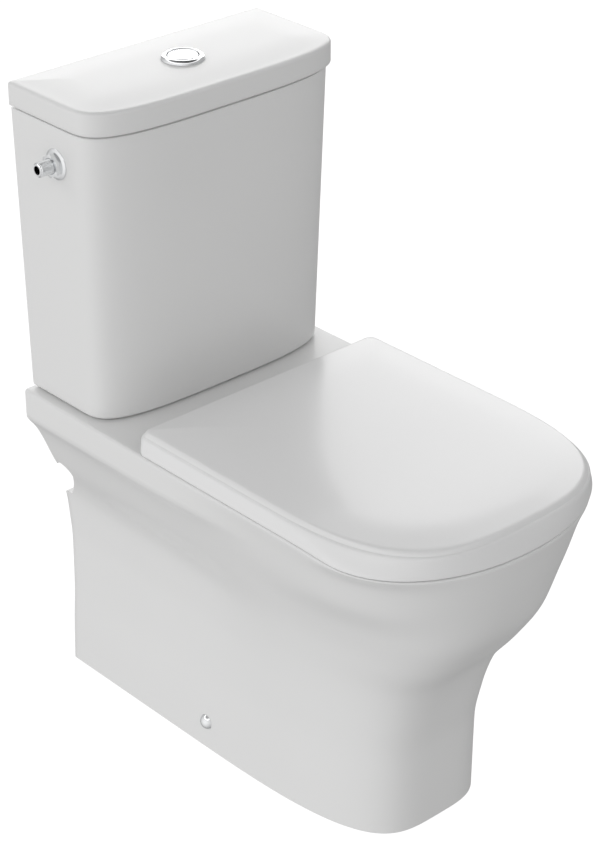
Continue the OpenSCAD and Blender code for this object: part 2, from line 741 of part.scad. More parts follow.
swing_r = hinge_up - 0.6;
lid_bottom = rim_h + lid_gap;
band_top = rim_h + lid_band;
crown_z = band_top + lid_crown;
// Slope of the lid from its edge to its crown: [inset, share of the crown's rise]
lid_slope = [[3.6, 0.08], [8, 0.28], [16, 0.54], [34, 0.78], [60, 0.92], [100, 1]];
lid_corner = 14;
// The front of the lid leans back from its bottom edge to its top edge
band_lean = 7.7;
band_side = 2.4;
top_stop = 0.634 * pan_d;
top_full = 3.18;
function cover_ring(z, inset) = let(t = min(1, (z - lid_bottom) / (band_top - lid_bottom)))
    [for (p = d_ring(z, pan_w / 2 - t * band_side, -lid_rear, -mix(side_stop, top_stop, t),
        t * band_lean - pan_d, mix(rim_full, top_full, t), lid_corner, inset))
        [p[0], p[1], p[2] - (1 - t) * dip(p[1])]];
module seat_cover_skin() {
    skin(concat(
        [for (i = [len(lid_slope) - 1 : -1 : 1]) let(s = lid_slope[i])
            cover_ring(band_top + s[1] * lid_crown - lid_skin, s[0] + 0.6)],
        [cover_ring(band_top - lid_skin, lid_skin + 0.6),
            cover_ring(lid_bottom, lid_skin),
            cover_ring(lid_bottom, 0.8),
            cover_ring(lid_bottom + 1.6, 0),
            cover_ring(band_top - 2, 0.3),
            cover_ring(band_top - 0.3, 1.3)],
        [for (s = lid_slope) cover_ring(band_top + s[1] * lid_crown, s[0])]));
}
// Cuts away what would strike the deck as the hinge turns
module tail_trim() {
    difference() {
        translate([-pan_w, hinge_y, rim_h - lap]) cube([2 * pan_w, 3 * hinge_up, hinge_up + lap]);
        translate([0, hinge_y, hinge_z]) across(3 * pan_w, swing_r);
    }
}
post_w = 15;
post_x = hinge_x - post_w / 2;
eye_w = 14;
eye_gap = 0.5;
lid_eye_x = post_x - eye_gap - eye_w;
ring_eye_x = post_x + post_w + eye_gap;
// Opening in the back of the lid, which lets it turn round a hinge post and the ring's eye
module post_window() {
    translate([post_x - 1.2, hinge_y + 3, rim_h])
        cube([ring_eye_x + eye_w - post_x + 2.4, 17, hinge_up]);
}
module eye(x, w, up) {
    translate([x, hinge_y, hinge_z]) rotate([0, 90, 0]) cylinder(h = w, r = eye_r);
    if (up > 0) translate([x, hinge_y - eye_r, hinge_z]) cube([w, 2 * eye_r, up]);
}
module pin_bore(x, w, r) {
    translate([x - lap, hinge_y, hinge_z]) rotate([0, 90, 0]) cylinder(h = w + 2 * lap, r = r);
}
pin_r = pin_dia / 2;
// Buffers: [x, distance from the wall]
lid_buffer_at = [[0.36 * pan_w, 0.4644 * pan_d], [0.2587 * pan_w, 0.8607 * pan_d]];
seat_buffer_at = [[0.4415 * pan_w, 0.5108 * pan_d], [0.4021 * pan_w, 0.8452 * pan_d]];
lid_buffer_top = band_top + 0.5 * lid_crown - 2.5;
module seat_lid() {
    color("white") difference() {
        union() {
            difference() {
                seat_cover_skin();
                tail_trim();
                both_sides() post_window();
            }
            both_sides() {
                eye(lid_eye_x, eye_w, hinge_up * 0.45);
                for (b = lid_buffer_at)
                    translate([b[0], -b[1], lid_buffer_top])
                        cylinder(h = lid_crown * 0.45, r = 7);
            }
        }
        both_sides() pin_bore(lid_eye_x, eye_w, pin_r + running);
    }
}
ring_top = rim_h + seat_gap + seat_t;
module lid_buffers() {
    color("gainsboro") both_sides() for (b = lid_buffer_at)
        translate([b[0], -b[1], ring_top + free]) cylinder(h = lid_buffer_top - ring_top - free, r = 6);
}
ring_inset = lid_skin + 2;
ring_swing = swing_r + 0.8;
ring_web = 9;
ring_rear = lid_rear + 1.5;
function seat_outline(z, inset) =
    d_ring(z, pan_w / 2 - ring_inset - band_side, -ring_rear, -mix(side_stop, top_stop, 0.5),
        ring_inset + 0.7 * band_lean - pan_d, mix(rim_full, top_full, 0.4), lid_corner - 4, inset);
hole_y = -(ring_rear + 62 + seat_hole_l / 2);
module seat_ring() {
    z0 = rim_h + seat_gap;
    notch_x = lid_eye_x - 1.5;
    notch_w = ring_eye_x - notch_x;
    color("white") difference() {
        union() {
            difference() {
                skin([seat_outline(z0, 3), seat_outline(z0 + 2, 1), seat_outline(ring_top - 5, 0),
                    seat_outline(ring_top - 2, 1.5), seat_outline(ring_top, 6)]);
                skin([oval(z0 - lap, seat_hole_w / 2 + 1, seat_hole_l / 2 + 1, hole_y, 2.6),
                    oval(ring_top - 7, seat_hole_w / 2, seat_hole_l / 2, hole_y, 2.6),
                    oval(ring_top - 2, seat_hole_w / 2 + 2, seat_hole_l / 2 + 2, hole_y, 2.6),
                    oval(ring_top + lap, seat_hole_w / 2 + 9, seat_hole_l / 2 + 9, hole_y, 2.6)]);
                translate([0, hinge_y, hinge_z]) across(3 * pan_w, ring_swing);
                translate([-pan_w, hinge_y, rim_h - lap]) cube([2 * pan_w, 60, 2 * hinge_up]);
            }
            both_sides() {
                eye(ring_eye_x, eye_w, 0);
                translate([ring_eye_x, hinge_y - ring_swing - 4, ring_top - 1 - ring_web])
                    cube([eye_w, ring_swing + 4, ring_web]);
            }
        }
        both_sides() {
            translate([notch_x, hinge_y - 17, z0 - lap]) cube([notch_w, 60, seat_t + 3 * lap]);
            pin_bore(ring_eye_x, eye_w, pin_r + running);
        }
    }
}
module seat_buffers() {
    color("gainsboro") both_sides() for (b = seat_buffer_at)
        translate([b[0], -b[1], rim_h + free]) cylinder(h = seat_gap - free, r = 7);
}

// ---- Hinges ----

base_t = 3;
base_r = 11;
module at_hinges() { both_sides() translate([hinge_x, hinge_y, 0]) children(); }
// The post leans forward under its eye, clear of the lid's tail
module hinge_posts() {
    h = hinge_up;
    color("silver") at_hinges() difference() {
        union() {
            translate([0, stud_y, rim_h]) cylinder(h = base_t, r = base_r);
            translate([-post_w / 2, 0, hinge_z]) rotate([90, 0, 90]) linear_extrude(post_w)
                polygon([[-eye_r, 0], [-eye_r - 4, -6], [-eye_r - 8, base_t - h], [-eye_r - 8, -h],
                    [-3, -h], [-3, -11], [1, -eye_r + 0.4], [0, 0]]);
            translate([0, 0, hinge_z]) across(post_w, eye_r);
        }
        translate([0, 0, hinge_z]) across(post_w + 2, pin_r);
        translate([0, stud_y, rim_h - lap]) cylinder(h = base_t + 2 * lap, r = stud_r + running);
    }
}
module hinge_pins() {
    w = post_w + 2 * (eye_w + eye_gap);
    color("silver") at_hinges() translate([0, 0, hinge_z]) across(w, pin_r);
}
stud_bottom = deck_under - 24;
module hinge_studs() {
    top = rim_h + base_t;
    color("silver") at_hinges() translate([0, stud_y, stud_bottom])
        cylinder(h = top - stud_bottom, r = stud_r);
}
module hinge_washers() {
    color("dimgray") at_hinges() translate([0, stud_y, deck_under - 4]) tube(4, 12, stud_r + 0.2);
}
module hinge_nuts() {
    color("white") at_hinges() translate([0, stud_y, deck_under - 13]) wing_nut(9, stud_r);
}

// ---- Floor fixings ----

bracket_t = 4;
bracket_w = 46;
bracket_reach = 42;
bracket_face = fix_face - china - 1.5;
screw_r = screw_dia / 2;
module floor_brackets() {
    color("lightgray") both_sides() translate([bracket_face, -fix_back, 0]) difference() {
        union() {
            translate([-bracket_reach, -bracket_w / 2, 0]) cube([bracket_reach, bracket_w, bracket_t]);
            translate([-bracket_t, -bracket_w / 2, 0]) cube([bracket_t, bracket_w, fix_h + 14]);
            translate([-12, 0, fix_h]) across(16, screw_r + 4);
        }
        translate([0, 0, fix_h]) across(80, screw_r + running);
        translate([-bracket_reach / 2 - 4, 0, -lap]) cylinder(h = bracket_t + 2 * lap, r = floor_hole / 2);
    }
}
module side_screws() {
    color("silver") both_sides() translate([fix_face + 1.5, -fix_back, fix_h]) rotate([0, -90, 0]) {
        cylinder(h = fix_face + 1.5 - bracket_face + 18, r = screw_r);
        translate([0, 0, -2.4]) cylinder(h = 2.4, r = screw_r + 2.4);
    }
}
module screw_washers() {
    color("white") both_sides() translate([fix_face, -fix_back, fix_h]) rotate([0, 90, 0])
        tube(1.5, cap_dia / 2 - 2, screw_r + 0.2);
}
// Domed cap that clips over the screw's head and its washer
module screw_caps() {
    h = 6.4;
    r = cap_dia / 2;
    ball = (r * r + h * h) / (2 * h);
    color("silver") both_sides() translate([fix_face, -fix_back, fix_h]) rotate([0, 90, 0]) difference() {
        intersection() {
            cylinder(h = h, r = r);
            translate([0, 0, h - ball]) sphere(r = ball);
        }
        translate([0, 0, -lap]) cylinder(h = 1.5 + lap + free, r = r - 1.7);
        translate([0, 0, -lap]) cylinder(h = 4 + lap + free, r = screw_r + 2.7);
    }
}

pan();
cistern();
cistern_lid();
lid_pads();
button_bezel();
button_barrel();
barrel_nut();
flush_button(-1);  // full_flush_button
flush_button(1);  // half_flush_button
flush_rod(-1);  // full_flush_rod
flush_rod(1);  // half_flush_rod
button_spring(-1);  // full_flush_spring
button_spring(1);  // half_flush_spring
flush_valve_body();
flush_valve_washer();
flush_valve_nut();
doughnut_seal();
overflow_tube();
valve_seal();
cistern_bolts();
bolt_washers();
bolt_plates();
bolt_nuts();
inlet_tail();
inlet_nut();
inlet_washer();
fill_valve_body();
fill_tube();
float_pin();
float_arm();
float();
seat_ring();
seat_buffers();
seat_lid();
lid_buffers();
hinge_posts();
hinge_pins();
hinge_studs();
hinge_washers();
hinge_nuts();
floor_brackets();
side_screws();
screw_washers();
screw_caps();
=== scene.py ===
# %% [markdown]
# # A close coupled toilet, dressed in Blender
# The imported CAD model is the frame: it says where every part is and how it moves. Here the
# pieces that the eye rests on, the china, the seat and the chrome, are modelled again with
# smoother surfaces, and every part gets its finish.

# %% Load the frame
import json
import math
import bmesh
import bpy
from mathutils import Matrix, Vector


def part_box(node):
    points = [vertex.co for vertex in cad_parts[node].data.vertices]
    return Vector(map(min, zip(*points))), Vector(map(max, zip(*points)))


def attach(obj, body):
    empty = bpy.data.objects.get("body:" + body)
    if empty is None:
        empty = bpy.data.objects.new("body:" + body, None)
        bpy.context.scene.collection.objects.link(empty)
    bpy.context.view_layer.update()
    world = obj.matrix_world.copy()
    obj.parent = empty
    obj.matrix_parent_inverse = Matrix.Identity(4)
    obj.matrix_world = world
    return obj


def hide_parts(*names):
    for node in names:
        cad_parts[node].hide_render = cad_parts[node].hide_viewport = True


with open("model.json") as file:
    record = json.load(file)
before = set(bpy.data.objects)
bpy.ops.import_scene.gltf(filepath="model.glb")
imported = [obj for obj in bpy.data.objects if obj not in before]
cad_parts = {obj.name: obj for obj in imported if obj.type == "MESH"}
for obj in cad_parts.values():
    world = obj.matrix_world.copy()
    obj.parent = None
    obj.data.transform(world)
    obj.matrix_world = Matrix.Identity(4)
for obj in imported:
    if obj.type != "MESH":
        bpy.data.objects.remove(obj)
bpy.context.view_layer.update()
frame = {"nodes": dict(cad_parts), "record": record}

# %% [markdown]
# ## The camera
# A long lens looks down on the toilet from its front left corner. It stands a little under three
# metres off, so the cistern and the bowl keep nearly parallel edges.

# %% Set the camera
camera = bpy.data.objects.new("camera", bpy.data.cameras.new("camera"))
bpy.context.scene.collection.objects.link(camera)
camera.location = (-1.578015, -2.030761, 1.708521)
camera.rotation_euler = (math.radians(61.082), 0, math.radians(-42.209))
camera.data.sensor_width = 36
camera.data.lens = 103.16
camera.data.shift_x = 0.0014
bpy.context.scene.camera = camera
print("camera at", [round(v, 3) for v in camera.location], "with a lens of", camera.data.lens)

# %% [markdown]
# ## Small helpers
# Measures are in millimetres, as on a drawing, and `put` turns them into Blender's metres. A
# table of shares becomes a smooth curve: a cubic through its points that never overshoots them,
# so that a surface lofted from it has no kinks and no bulges.

# %% Numbers and curves
MM = 0.001


def mix(a, b, t):
    return a + (b - a) * t


def smooth(t):
    t = min(1.0, max(0.0, t))
    return t * t * (3 - 2 * t)


def curve(table):
    """A function that follows the table's points on a monotone cubic."""
    xs, ys = zip(*table)
    slopes = [(ys[i + 1] - ys[i]) / (xs[i + 1] - xs[i]) for i in range(len(xs) - 1)]
    ends = [slopes[0]] + [0 if a * b <= 0 else 2 * a * b / (a + b)
                          for a, b in zip(slopes, slopes[1:])] + [slopes[-1]]

    def at(x):
        x = min(max(x, xs[0]), xs[-1])
        i = max(k for k in range(len(xs) - 1) if xs[k] <= x)
        w = xs[i + 1] - xs[i]
        t = (x - xs[i]) / w
        return (ys[i] * (1 + 2 * t) * (1 - t) ** 2 + ends[i] * w * t * (1 - t) ** 2
                + ys[i + 1] * t * t * (3 - 2 * t) - ends[i + 1] * w * t * t * (1 - t))
    return at


def put(point):
    return Vector(point) * MM


# %% [markdown]
# ## Lofting by extruding
# Every china and seat surface here is a stack of closed outlines. By hand that is a circle that
# is extruded ring by ring, each new ring being pushed into its own outline. The same steps run
# below in edit mode: the circle is added, its edges are extruded, and the points of the newest
# ring are set in place. The ends are filled, and the normals are turned outwards.

# %% Loft, carve and finish
def only(ob):
    """Deselects everything and makes one object selected and active."""
    bpy.ops.object.select_all(action="DESELECT")
    ob.select_set(True)
    bpy.context.view_layer.objects.active = ob
    return ob


def edit(ob, select="SELECT"):
    only(ob)
    bpy.ops.object.mode_set(mode="EDIT")
    bpy.ops.mesh.select_all(action=select)


def done():
    bpy.ops.object.mode_set(mode="OBJECT")


def loft(name, rings, ends=True):
    bpy.ops.object.select_all(action="DESELECT")
    bpy.ops.mesh.primitive_circle_add(vertices=len(rings[0]), radius=0.1)
    ob = bpy.context.object
    ob.name = ob.data.name = name
    bpy.ops.object.mode_set(mode="EDIT")
    bpy.ops.mesh.select_mode(type="EDGE")
    bpy.ops.mesh.select_all(action="SELECT")
    size = len(rings[0])
    for k, ring in enumerate(rings):
        if k:
            bpy.ops.mesh.extrude_region_move()
        bm = bmesh.from_edit_mesh(ob.data)
        bm.verts.ensure_lookup_table()
        for i, point in enumerate(ring):
            bm.verts[k * size + i].co = put(point)
    if ends:
        bpy.ops.mesh.edge_face_add()
        for e in bm.edges:
            e.select_set(all(v.index < size for v in e.verts))
        bpy.ops.mesh.edge_face_add()
    else:
        for e in bm.edges:
            e.select_set(all(v.index < size or v.index >= len(bm.verts) - size for v in e.verts))
        bpy.ops.mesh.bridge_edge_loops()
    bpy.ops.mesh.select_all(action="SELECT")
    bpy.ops.mesh.normals_make_consistent(inside=False)
    done()
    return ob


def carve(ob, cutter, how="DIFFERENCE"):
    """Applies a Boolean of the cutter to the piece and removes the cutter."""
    only(ob)
    m = ob.modifiers.new("carve", "BOOLEAN")
    m.operation, m.object, m.solver = how, cutter, "EXACT"
    bpy.ops.object.modifier_apply(modifier=m.name)
    bpy.data.objects.remove(cutter)
    return ob


def soften(ob, angle=30):
    only(ob)
    bpy.ops.object.shade_smooth_by_angle(angle=math.radians(angle))
    print(ob.name, len(ob.data.polygons), "faces,", [round(v, 3) for v in ob.dimensions])
    return ob


def join(name, *parts):
    only(parts[0])
    for part in parts[1:]:
        part.select_set(True)
    bpy.ops.object.join()
    ob = bpy.context.object
    ob.name = ob.data.name = name
    return ob


def rod(radius, start, end, sides=64, end_radius=None):
    """A closed round bar between two points, whose mesh lies in place."""
    a, b = Vector(start), Vector(end)
    bpy.ops.object.select_all(action="DESELECT")
    bpy.ops.mesh.primitive_cone_add(
        vertices=sides, radius1=radius * MM,
        radius2=(radius if end_radius is None else end_radius) * MM,
        depth=(b - a).length * MM, location=put((a + b) / 2),
        rotation=(b - a).to_track_quat("Z", "Y").to_euler())
    bpy.ops.object.transform_apply(location=True, rotation=True, scale=True)
    return bpy.context.object


def block(low, high):
    """A closed box between two corners, whose mesh lies in place."""
    a, b = Vector(low), Vector(high)
    bpy.ops.object.select_all(action="DESELECT")
    bpy.ops.mesh.primitive_cube_add(size=1, location=put((a + b) / 2), scale=put(b - a))
    bpy.ops.object.transform_apply(location=True, rotation=True, scale=True)
    return bpy.context.object


# %% [markdown]
# ## Outlines
# Seen from above, the rim, the seat and the cistern are all the same family: a flat back with
# rounded corners, straight sides, and a front that is a quarter of a superellipse on each side.
# A superellipse of power 2 is a plain ellipse, and a higher power fills out its corners.

# %% Plan outlines
def plan(hw, rear, stop, front, e, rc, back_n=10, corner_n=8, side_n=26, nose_n=40):
    """Half widths, and the Y of the back, of the end of the straight side, and of the front."""
    back = [(-(hw - rc) * i / back_n, rear) for i in range(1, back_n)]
    corner = [(-(hw - rc) - rc * math.sin(a), rear - rc + rc * math.cos(a))
              for a in (math.pi / 2 * i / corner_n for i in range(corner_n + 1))]
    if not rc:  # a plain chamfer
        corner, rc = [(-0.99 * hw, rear), (-hw, rear - 2)], 2
    side = [(-hw, mix(rear - rc, stop, i / side_n)) for i in range(1, side_n + 1)]
    nose = [(-hw * math.cos(a) ** (2 / e), stop + (front - stop) * math.sin(a) ** (2 / e))
            for a in (math.pi / 2 * i / nose_n for i in range(1, nose_n))]
    half = back + corner + side + nose
    return [(0, rear)] + half + [(0, front)] + [(-x, y) for x, y in reversed(half)]


def level(outline, z):
    return [(x, y, z) for x, y in outline]


def oval_like(ring, hw, hl, y, e, z):
    """The oval's points in the same directions from its centre as the ring's points."""
    out = []
    for p in ring:
        a = math.atan2(p[1] - y, p[0])
        c, s = math.cos(a), math.sin(a)
        r = (abs(c / hw) ** e + abs(s / hl) ** e) ** (-1 / e)
        out.append((r * c, y + r * s, z))
    return out


# %% [markdown]
# ## The pan
# The pan is one casting of vitreous china: a skirt that hides the trap, a foot that is narrower
# than the rim, a flat deck for the cistern and a bowl. Sculpting could give such a form, but a
# loft keeps it true and symmetric. The loft starts under the bowl, goes out below the deck, down
# the inside of the skirt, round its foot, up the outside, over the rim and down into the bowl,
# so that one closed skin has its walls already.

# %% Measures of the pan
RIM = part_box("pan")[1].z / MM
PAN_W, PAN_D, FOOT_W, FOOT_D = 355.58, 645.8, 224, 525
CHINA, UNDER_DECK, SKIRT_TOP = 12, RIM - 15, 380
BOWL_W, BOWL_L, BOWL_DEPTH, RIM_LAND = 276, 332, 304, 36
BOWL_Y = -(PAN_D - RIM_LAND - BOWL_L / 2)
RIM_POWER, FOOT_POWER, BOWL_POWER = 2.06, 3.78, 2.4
RIM_STOP, FOOT_STOP = 0.81, 0.346  # how far back to front the straight sides run
SWELL_FROM, SWELL_RUN = 230, 190  # where the sides pass from the deck's width to the bowl's
NOSE_DIP, DIP_FROM, DIP_RUN = 5, 0.72, 0.28  # the rim sinks a little towards its front
FADE_FROM, FADE_RUN = 0.7, 0.25  # the dip fades out down the skirt
FOOT_EDGE, ROLL, ROLL_Z, BOWL_ROLL = 1.2, 4, 406, 8
print("rim at", round(RIM, 2), "bowl centre at", BOWL_Y)

# %% [markdown]
# The skirt's outline changes with its height. Four curves say how far its back, its sides, its
# front and the squareness of its nose have gone from the foot's measure to the rim's, and three
# more say how the bowl narrows on its way down.

# %% Curves of the pan
rear_share = curve([(0, 0), (0.13, -0.03), (0.27, -0.08), (0.42, -0.09), (0.507, -0.05),
                    (0.576, 0), (0.634, 0.11), (0.734, 0.43), (0.873, 0.82), (0.898, 0.94),
                    (0.917, 1), (1, 1)])
bowl_share = curve([(0, 0), (0.24, 0), (0.366, 0.04), (0.488, 0.118), (0.61, 0.247),
                    (0.732, 0.444), (0.854, 0.723), (0.951, 0.9), (1, 1)])
front_share = curve([(0, 0), (0.24, 0.01), (0.366, 0.085), (0.488, 0.219), (0.61, 0.51),
                     (0.732, 0.763), (0.854, 0.876), (0.951, 0.953), (1, 1)])
nose_share = curve([(0, 0), (0.45, 0.02), (0.61, 0.07), (0.732, 0.44), (0.854, 0.81),
                    (0.951, 0.86), (1, 1)])
bowl_plan = [(0, 1, 1, 0), (0.1, 0.99, 0.99, 0), (0.2, 0.94, 0.95, 2), (0.33, 0.84, 0.86, 9),
             (0.47, 0.69, 0.72, 20), (0.6, 0.54, 0.56, 34), (0.72, 0.42, 0.42, 48),
             (0.85, 0.34, 0.31, 60), (0.95, 0.26, 0.24, 66), (1, 0.12, 0.12, 68)]
bowl_wide = curve([(s, w) for s, w, l, b in bowl_plan])
bowl_long = curve([(s, l) for s, w, l, b in bowl_plan])
bowl_back = curve([(s, b) for s, w, l, b in bowl_plan])


def dip(y):
    return NOSE_DIP * smooth((-y / PAN_D - DIP_FROM) / DIP_RUN)


def pan_ring(z, inset=0.0, flat=None):
    """The skirt's outline at a height. With flat given, that share of the nose's dip is taken."""
    u = z / RIM
    over, nose = (PAN_W - FOOT_W) / 2, nose_share(u)
    rear = FOOT_W / 2 + over * rear_share(u) - inset
    wide = FOOT_W / 2 + over * bowl_share(u) - inset
    stop = mix(FOOT_STOP * FOOT_D, RIM_STOP * PAN_D, nose)
    front = mix(FOOT_D, PAN_D, front_share(u)) - inset
    fade = smooth((u - FADE_FROM) / FADE_RUN) if flat is None else flat
    return [(x * mix(rear, wide, smooth((-y - SWELL_FROM) / SWELL_RUN)), y, z - fade * dip(y))
            for x, y in plan(1, -inset, -stop, -front, mix(FOOT_POWER, RIM_POWER, nose), 0)]


def bowl_ring(share, grow=0.0):
    """The bowl's outline at a share of its depth, grown outwards for its outer side."""
    z = mix(RIM, RIM - BOWL_DEPTH - grow, share)
    return oval_like(pan_ring(RIM), bowl_wide(share) * BOWL_W / 2 + grow,
                     bowl_long(share) * BOWL_L / 2 + grow, BOWL_Y + bowl_back(share),
                     BOWL_POWER, z)


# %% Loft the pan
steps = [i / 28 for i in range(29)]
quarter = [math.pi / 2 * i / 6 for i in range(7)]
under_share = (RIM - UNDER_DECK) / (BOWL_DEPTH + CHINA)
rings = [bowl_ring(mix(1, under_share, s), CHINA) for s in steps]
rings += [[(x, y, UNDER_DECK) for x, y, z in pan_ring(UNDER_DECK, CHINA, 0)]]
rings += [pan_ring(mix(SKIRT_TOP, 0, s), CHINA) for s in steps]
rings += [pan_ring(0, FOOT_EDGE), pan_ring(FOOT_EDGE)]
rings += [pan_ring(mix(FOOT_EDGE, ROLL_Z, i / 64)) for i in range(1, 65)]
rings += [pan_ring(ROLL_Z + ROLL * math.sin(a), ROLL * (1 - math.cos(a))) for a in quarter[1:]]
rings += [pan_ring(RIM, inset, dipped) for inset, dipped in ((9, 0.55), (14, 0.18), (20, 0))]
rings += [oval_like(pan_ring(RIM), BOWL_W / 2 + BOWL_ROLL * (1 - math.sin(a)),
                    BOWL_L / 2 + BOWL_ROLL * (1 - math.sin(a)), BOWL_Y, BOWL_POWER,
                    RIM - BOWL_ROLL * (1 - math.cos(a))) for a in quarter]
rings += [bowl_ring(mix(0.04, 1, s)) for s in steps]
pan = loft("pan_china", rings)

# %% [markdown]
# The trap and the outlet spigot are cast in one with the bowl. The trap's rings stand square to a
# line that climbs over the weir and falls to the spigot. It is added with a Boolean union, its
# bore is taken out again, and the flush duct behind the rim is made in the same way.

# %% Trap, duct and openings
SUMP_Y, SUMP_Z, OUTLET_Z = BOWL_Y + 74, RIM - BOWL_DEPTH + 28, 180
TRAP_R, TRAP_WALL, TRAP_SIDES, TRAP_STEPS = 27, 9, 48, 36
TRAP_RISE, TRAP_END, FLARE_FROM = 98, -176, 27
SPIGOT_R, SPIGOT_Y, SPIGOT_END = 51, -141, -110
VALVE_Y, DUCT_Y = -104, -280
trap_line = [(-0.06, -0.1), (0, 0), (0.18, 0.38), (0.34, 0.74), (0.43, 0.91), (0.51, 0.99),
             (0.59, 1), (0.67, 0.93), (0.76, 0.78), (0.86, 0.62), (0.95, 0.52), (1.05, 0.47)]
trap_up = curve(trap_line)


def trap(grow, end, spread):
    """A tube round the trap's line, which flares by the spread into the spigot behind it."""
    around = [2 * math.pi * j / TRAP_SIDES for j in range(TRAP_SIDES)]
    line = [(mix(SUMP_Y, TRAP_END, t), SUMP_Z + TRAP_RISE * trap_up(t))
            for t in [mix(trap_line[0][0], 1.0, i / TRAP_STEPS) for i in range(TRAP_STEPS + 1)]]
    out = []
    for i, (y, z) in enumerate(line):
        a, b = line[max(i - 1, 0)], line[min(i + 1, TRAP_STEPS)]
        dy, dz = b[0] - a[0], b[1] - a[1]
        length = math.hypot(dy, dz)
        r = TRAP_R + grow + spread * smooth((i - FLARE_FROM) / (TRAP_STEPS - FLARE_FROM))
        out.append([(r * math.sin(k), y - r * math.cos(k) * dz / length,
                     z + r * math.cos(k) * dy / length) for k in around])
    r = TRAP_R + grow + spread
    out += [[(r * math.sin(k), y, OUTLET_Z + r * math.cos(k)) for k in around]
            for y in (TRAP_END + 8, end)]
    return loft("trap", out)


def duct(half, radius, low, high, top):
    """The way from the valve's hole to the rim: a box with a round end under the hole."""
    way = block((-half, DUCT_Y, low), (half, VALVE_Y, high))
    return carve(way, rod(radius, (0, VALVE_Y, low), (0, VALVE_Y, top)), "UNION")


carve(pan, trap(grow=TRAP_WALL, end=SPIGOT_END, spread=14), "UNION")
carve(pan, rod(SPIGOT_R, (0, SPIGOT_Y, OUTLET_Z), (0, SPIGOT_END, OUTLET_Z)), "UNION")
carve(pan, duct(half=44, radius=44, low=348, high=405, top=405), "UNION")
carve(pan, trap(grow=0, end=SPIGOT_END + 10, spread=18))
carve(pan, duct(half=30, radius=32, low=360, high=395, top=420))
print("the pan, its trap and its duct have", len(pan.data.polygons), "faces")

# %% [markdown]
# At the back the skirt is open for the pipes. Its upper part stands off the wall: a round bite
# and a slope lead down to a ledge that runs back to the wall. The outline of that cut is an
# extruded face, here one ring that is lofted straight across the pan.

# %% Cut the back
DECK_Y = -23
BITE_Y, BITE_Z, BITE_R, SLOPE_Y, LIP_Z, LIP_R = -33, 291, 12, -15, 243, 7
BEHIND, ABOVE = 2, 820


def across(outline, width):
    return loft("cut", [[(x, y, z) for y, z in outline] for x in (-width, width)])


bite = [(BITE_Y + BITE_R * math.cos(a), BITE_Z + BITE_R * math.sin(a))
        for a in (math.radians(mix(33.6, 215, i / 24)) for i in range(25))]
lip = [(LIP_R * (math.sin(a) - 1), LIP_Z - LIP_R * (1 - math.cos(a)))
       for a in (math.radians(10 * i) for i in range(10))]
carve(pan, across([(DECK_Y, ABOVE)] + bite + [(SLOPE_Y, LIP_Z)] + lip
                  + [(BEHIND, LIP_Z - LIP_R), (BEHIND, ABOVE)], 300))
BACK_W = FOOT_W / 2 - 0.09 * (PAN_W - FOOT_W) / 2 - CHINA
carve(pan, block((-BACK_W, DECK_Y - 1, -5), (BACK_W, 12, UNDER_DECK)))

# %% [markdown]
# Two holes in the deck take the cistern's bolts and two the hinges' studs. A screw goes through
# each side of the skirt into a bracket on the floor. The six cutters are joined, so that one
# Boolean drills them all.

# %% Drill the pan
BOLT_X, STUD_X, STUD_Y, DECK_HOLE_R = 75, 77.5, -260.5, 6.5
SCREW_Y, SCREW_Z, SCREW_HOLE_R = -252, 36, 4
holes = [rod(DECK_HOLE_R, (s * x, y, RIM - 30), (s * x, y, RIM + 10), 32)
         for x, y in ((BOLT_X, VALVE_Y), (STUD_X, STUD_Y)) for s in (-1, 1)]
holes += [rod(SCREW_HOLE_R, (s * 92, SCREW_Y, SCREW_Z), (s * 122, SCREW_Y, SCREW_Z), 32)
          for s in (-1, 1)]
carve(pan, join("holes", *holes))
soften(pan)

# %% [markdown]
# ## The cistern
# The cistern is a thin-walled box of china. Its back is flat, its front swells out between soft
# corners, and it widens a little towards the top. It stands on the deck on a foot that is set in
# by a few millimetres, and its top edge is rebated under the lid, so that a thin dark line parts
# it from the deck and from the lid.

# %% Loft the cistern
TANK_Z, TANK_H, WALL = RIM + 0.6, 344, 10
BASE_Z, FLOOR_Z = TANK_Z + 23.4, TANK_Z + 35.4
TOP_Z = TANK_Z + TANK_H
FOOT_HALF, FOOT_DEEP, LID_W, LID_D, OVERHANG = 166.8, 144.2, 354.8, 158.8, 3
TANK_POWER, TANK_STOP, TANK_CORNER, SHARP = 3.4, 0.615, 3, 0.5
FOOT_SET, FOOT_STEP, FOOT_ROUND = 6.5, 1.4, 4
REBATE, REBATE_H, TOP_ROUND, FLOOR_ROUND = 4, 3, 0.6, 8


def tank_ring(z, inset=0.0):
    t = (z - TANK_Z) / TANK_H
    deep = mix(FOOT_DEEP, LID_D - OVERHANG, t)
    return level(plan(mix(FOOT_HALF, LID_W / 2 - OVERHANG, t) - inset, DECK_Y - inset,
                      DECK_Y - TANK_STOP * deep, DECK_Y - deep + inset, TANK_POWER,
                      max(TANK_CORNER - inset, SHARP), side_n=16), z)


def rounded(ring, z, r, up, turns=5):
    """Rings round an edge of radius r, whose flat face is at z and faces up or down."""
    return [ring(z + up * r * (math.sin(a) - 1), r * (1 - math.cos(a)))
            for a in (math.pi / 2 * i / turns for i in range(turns + 1))]


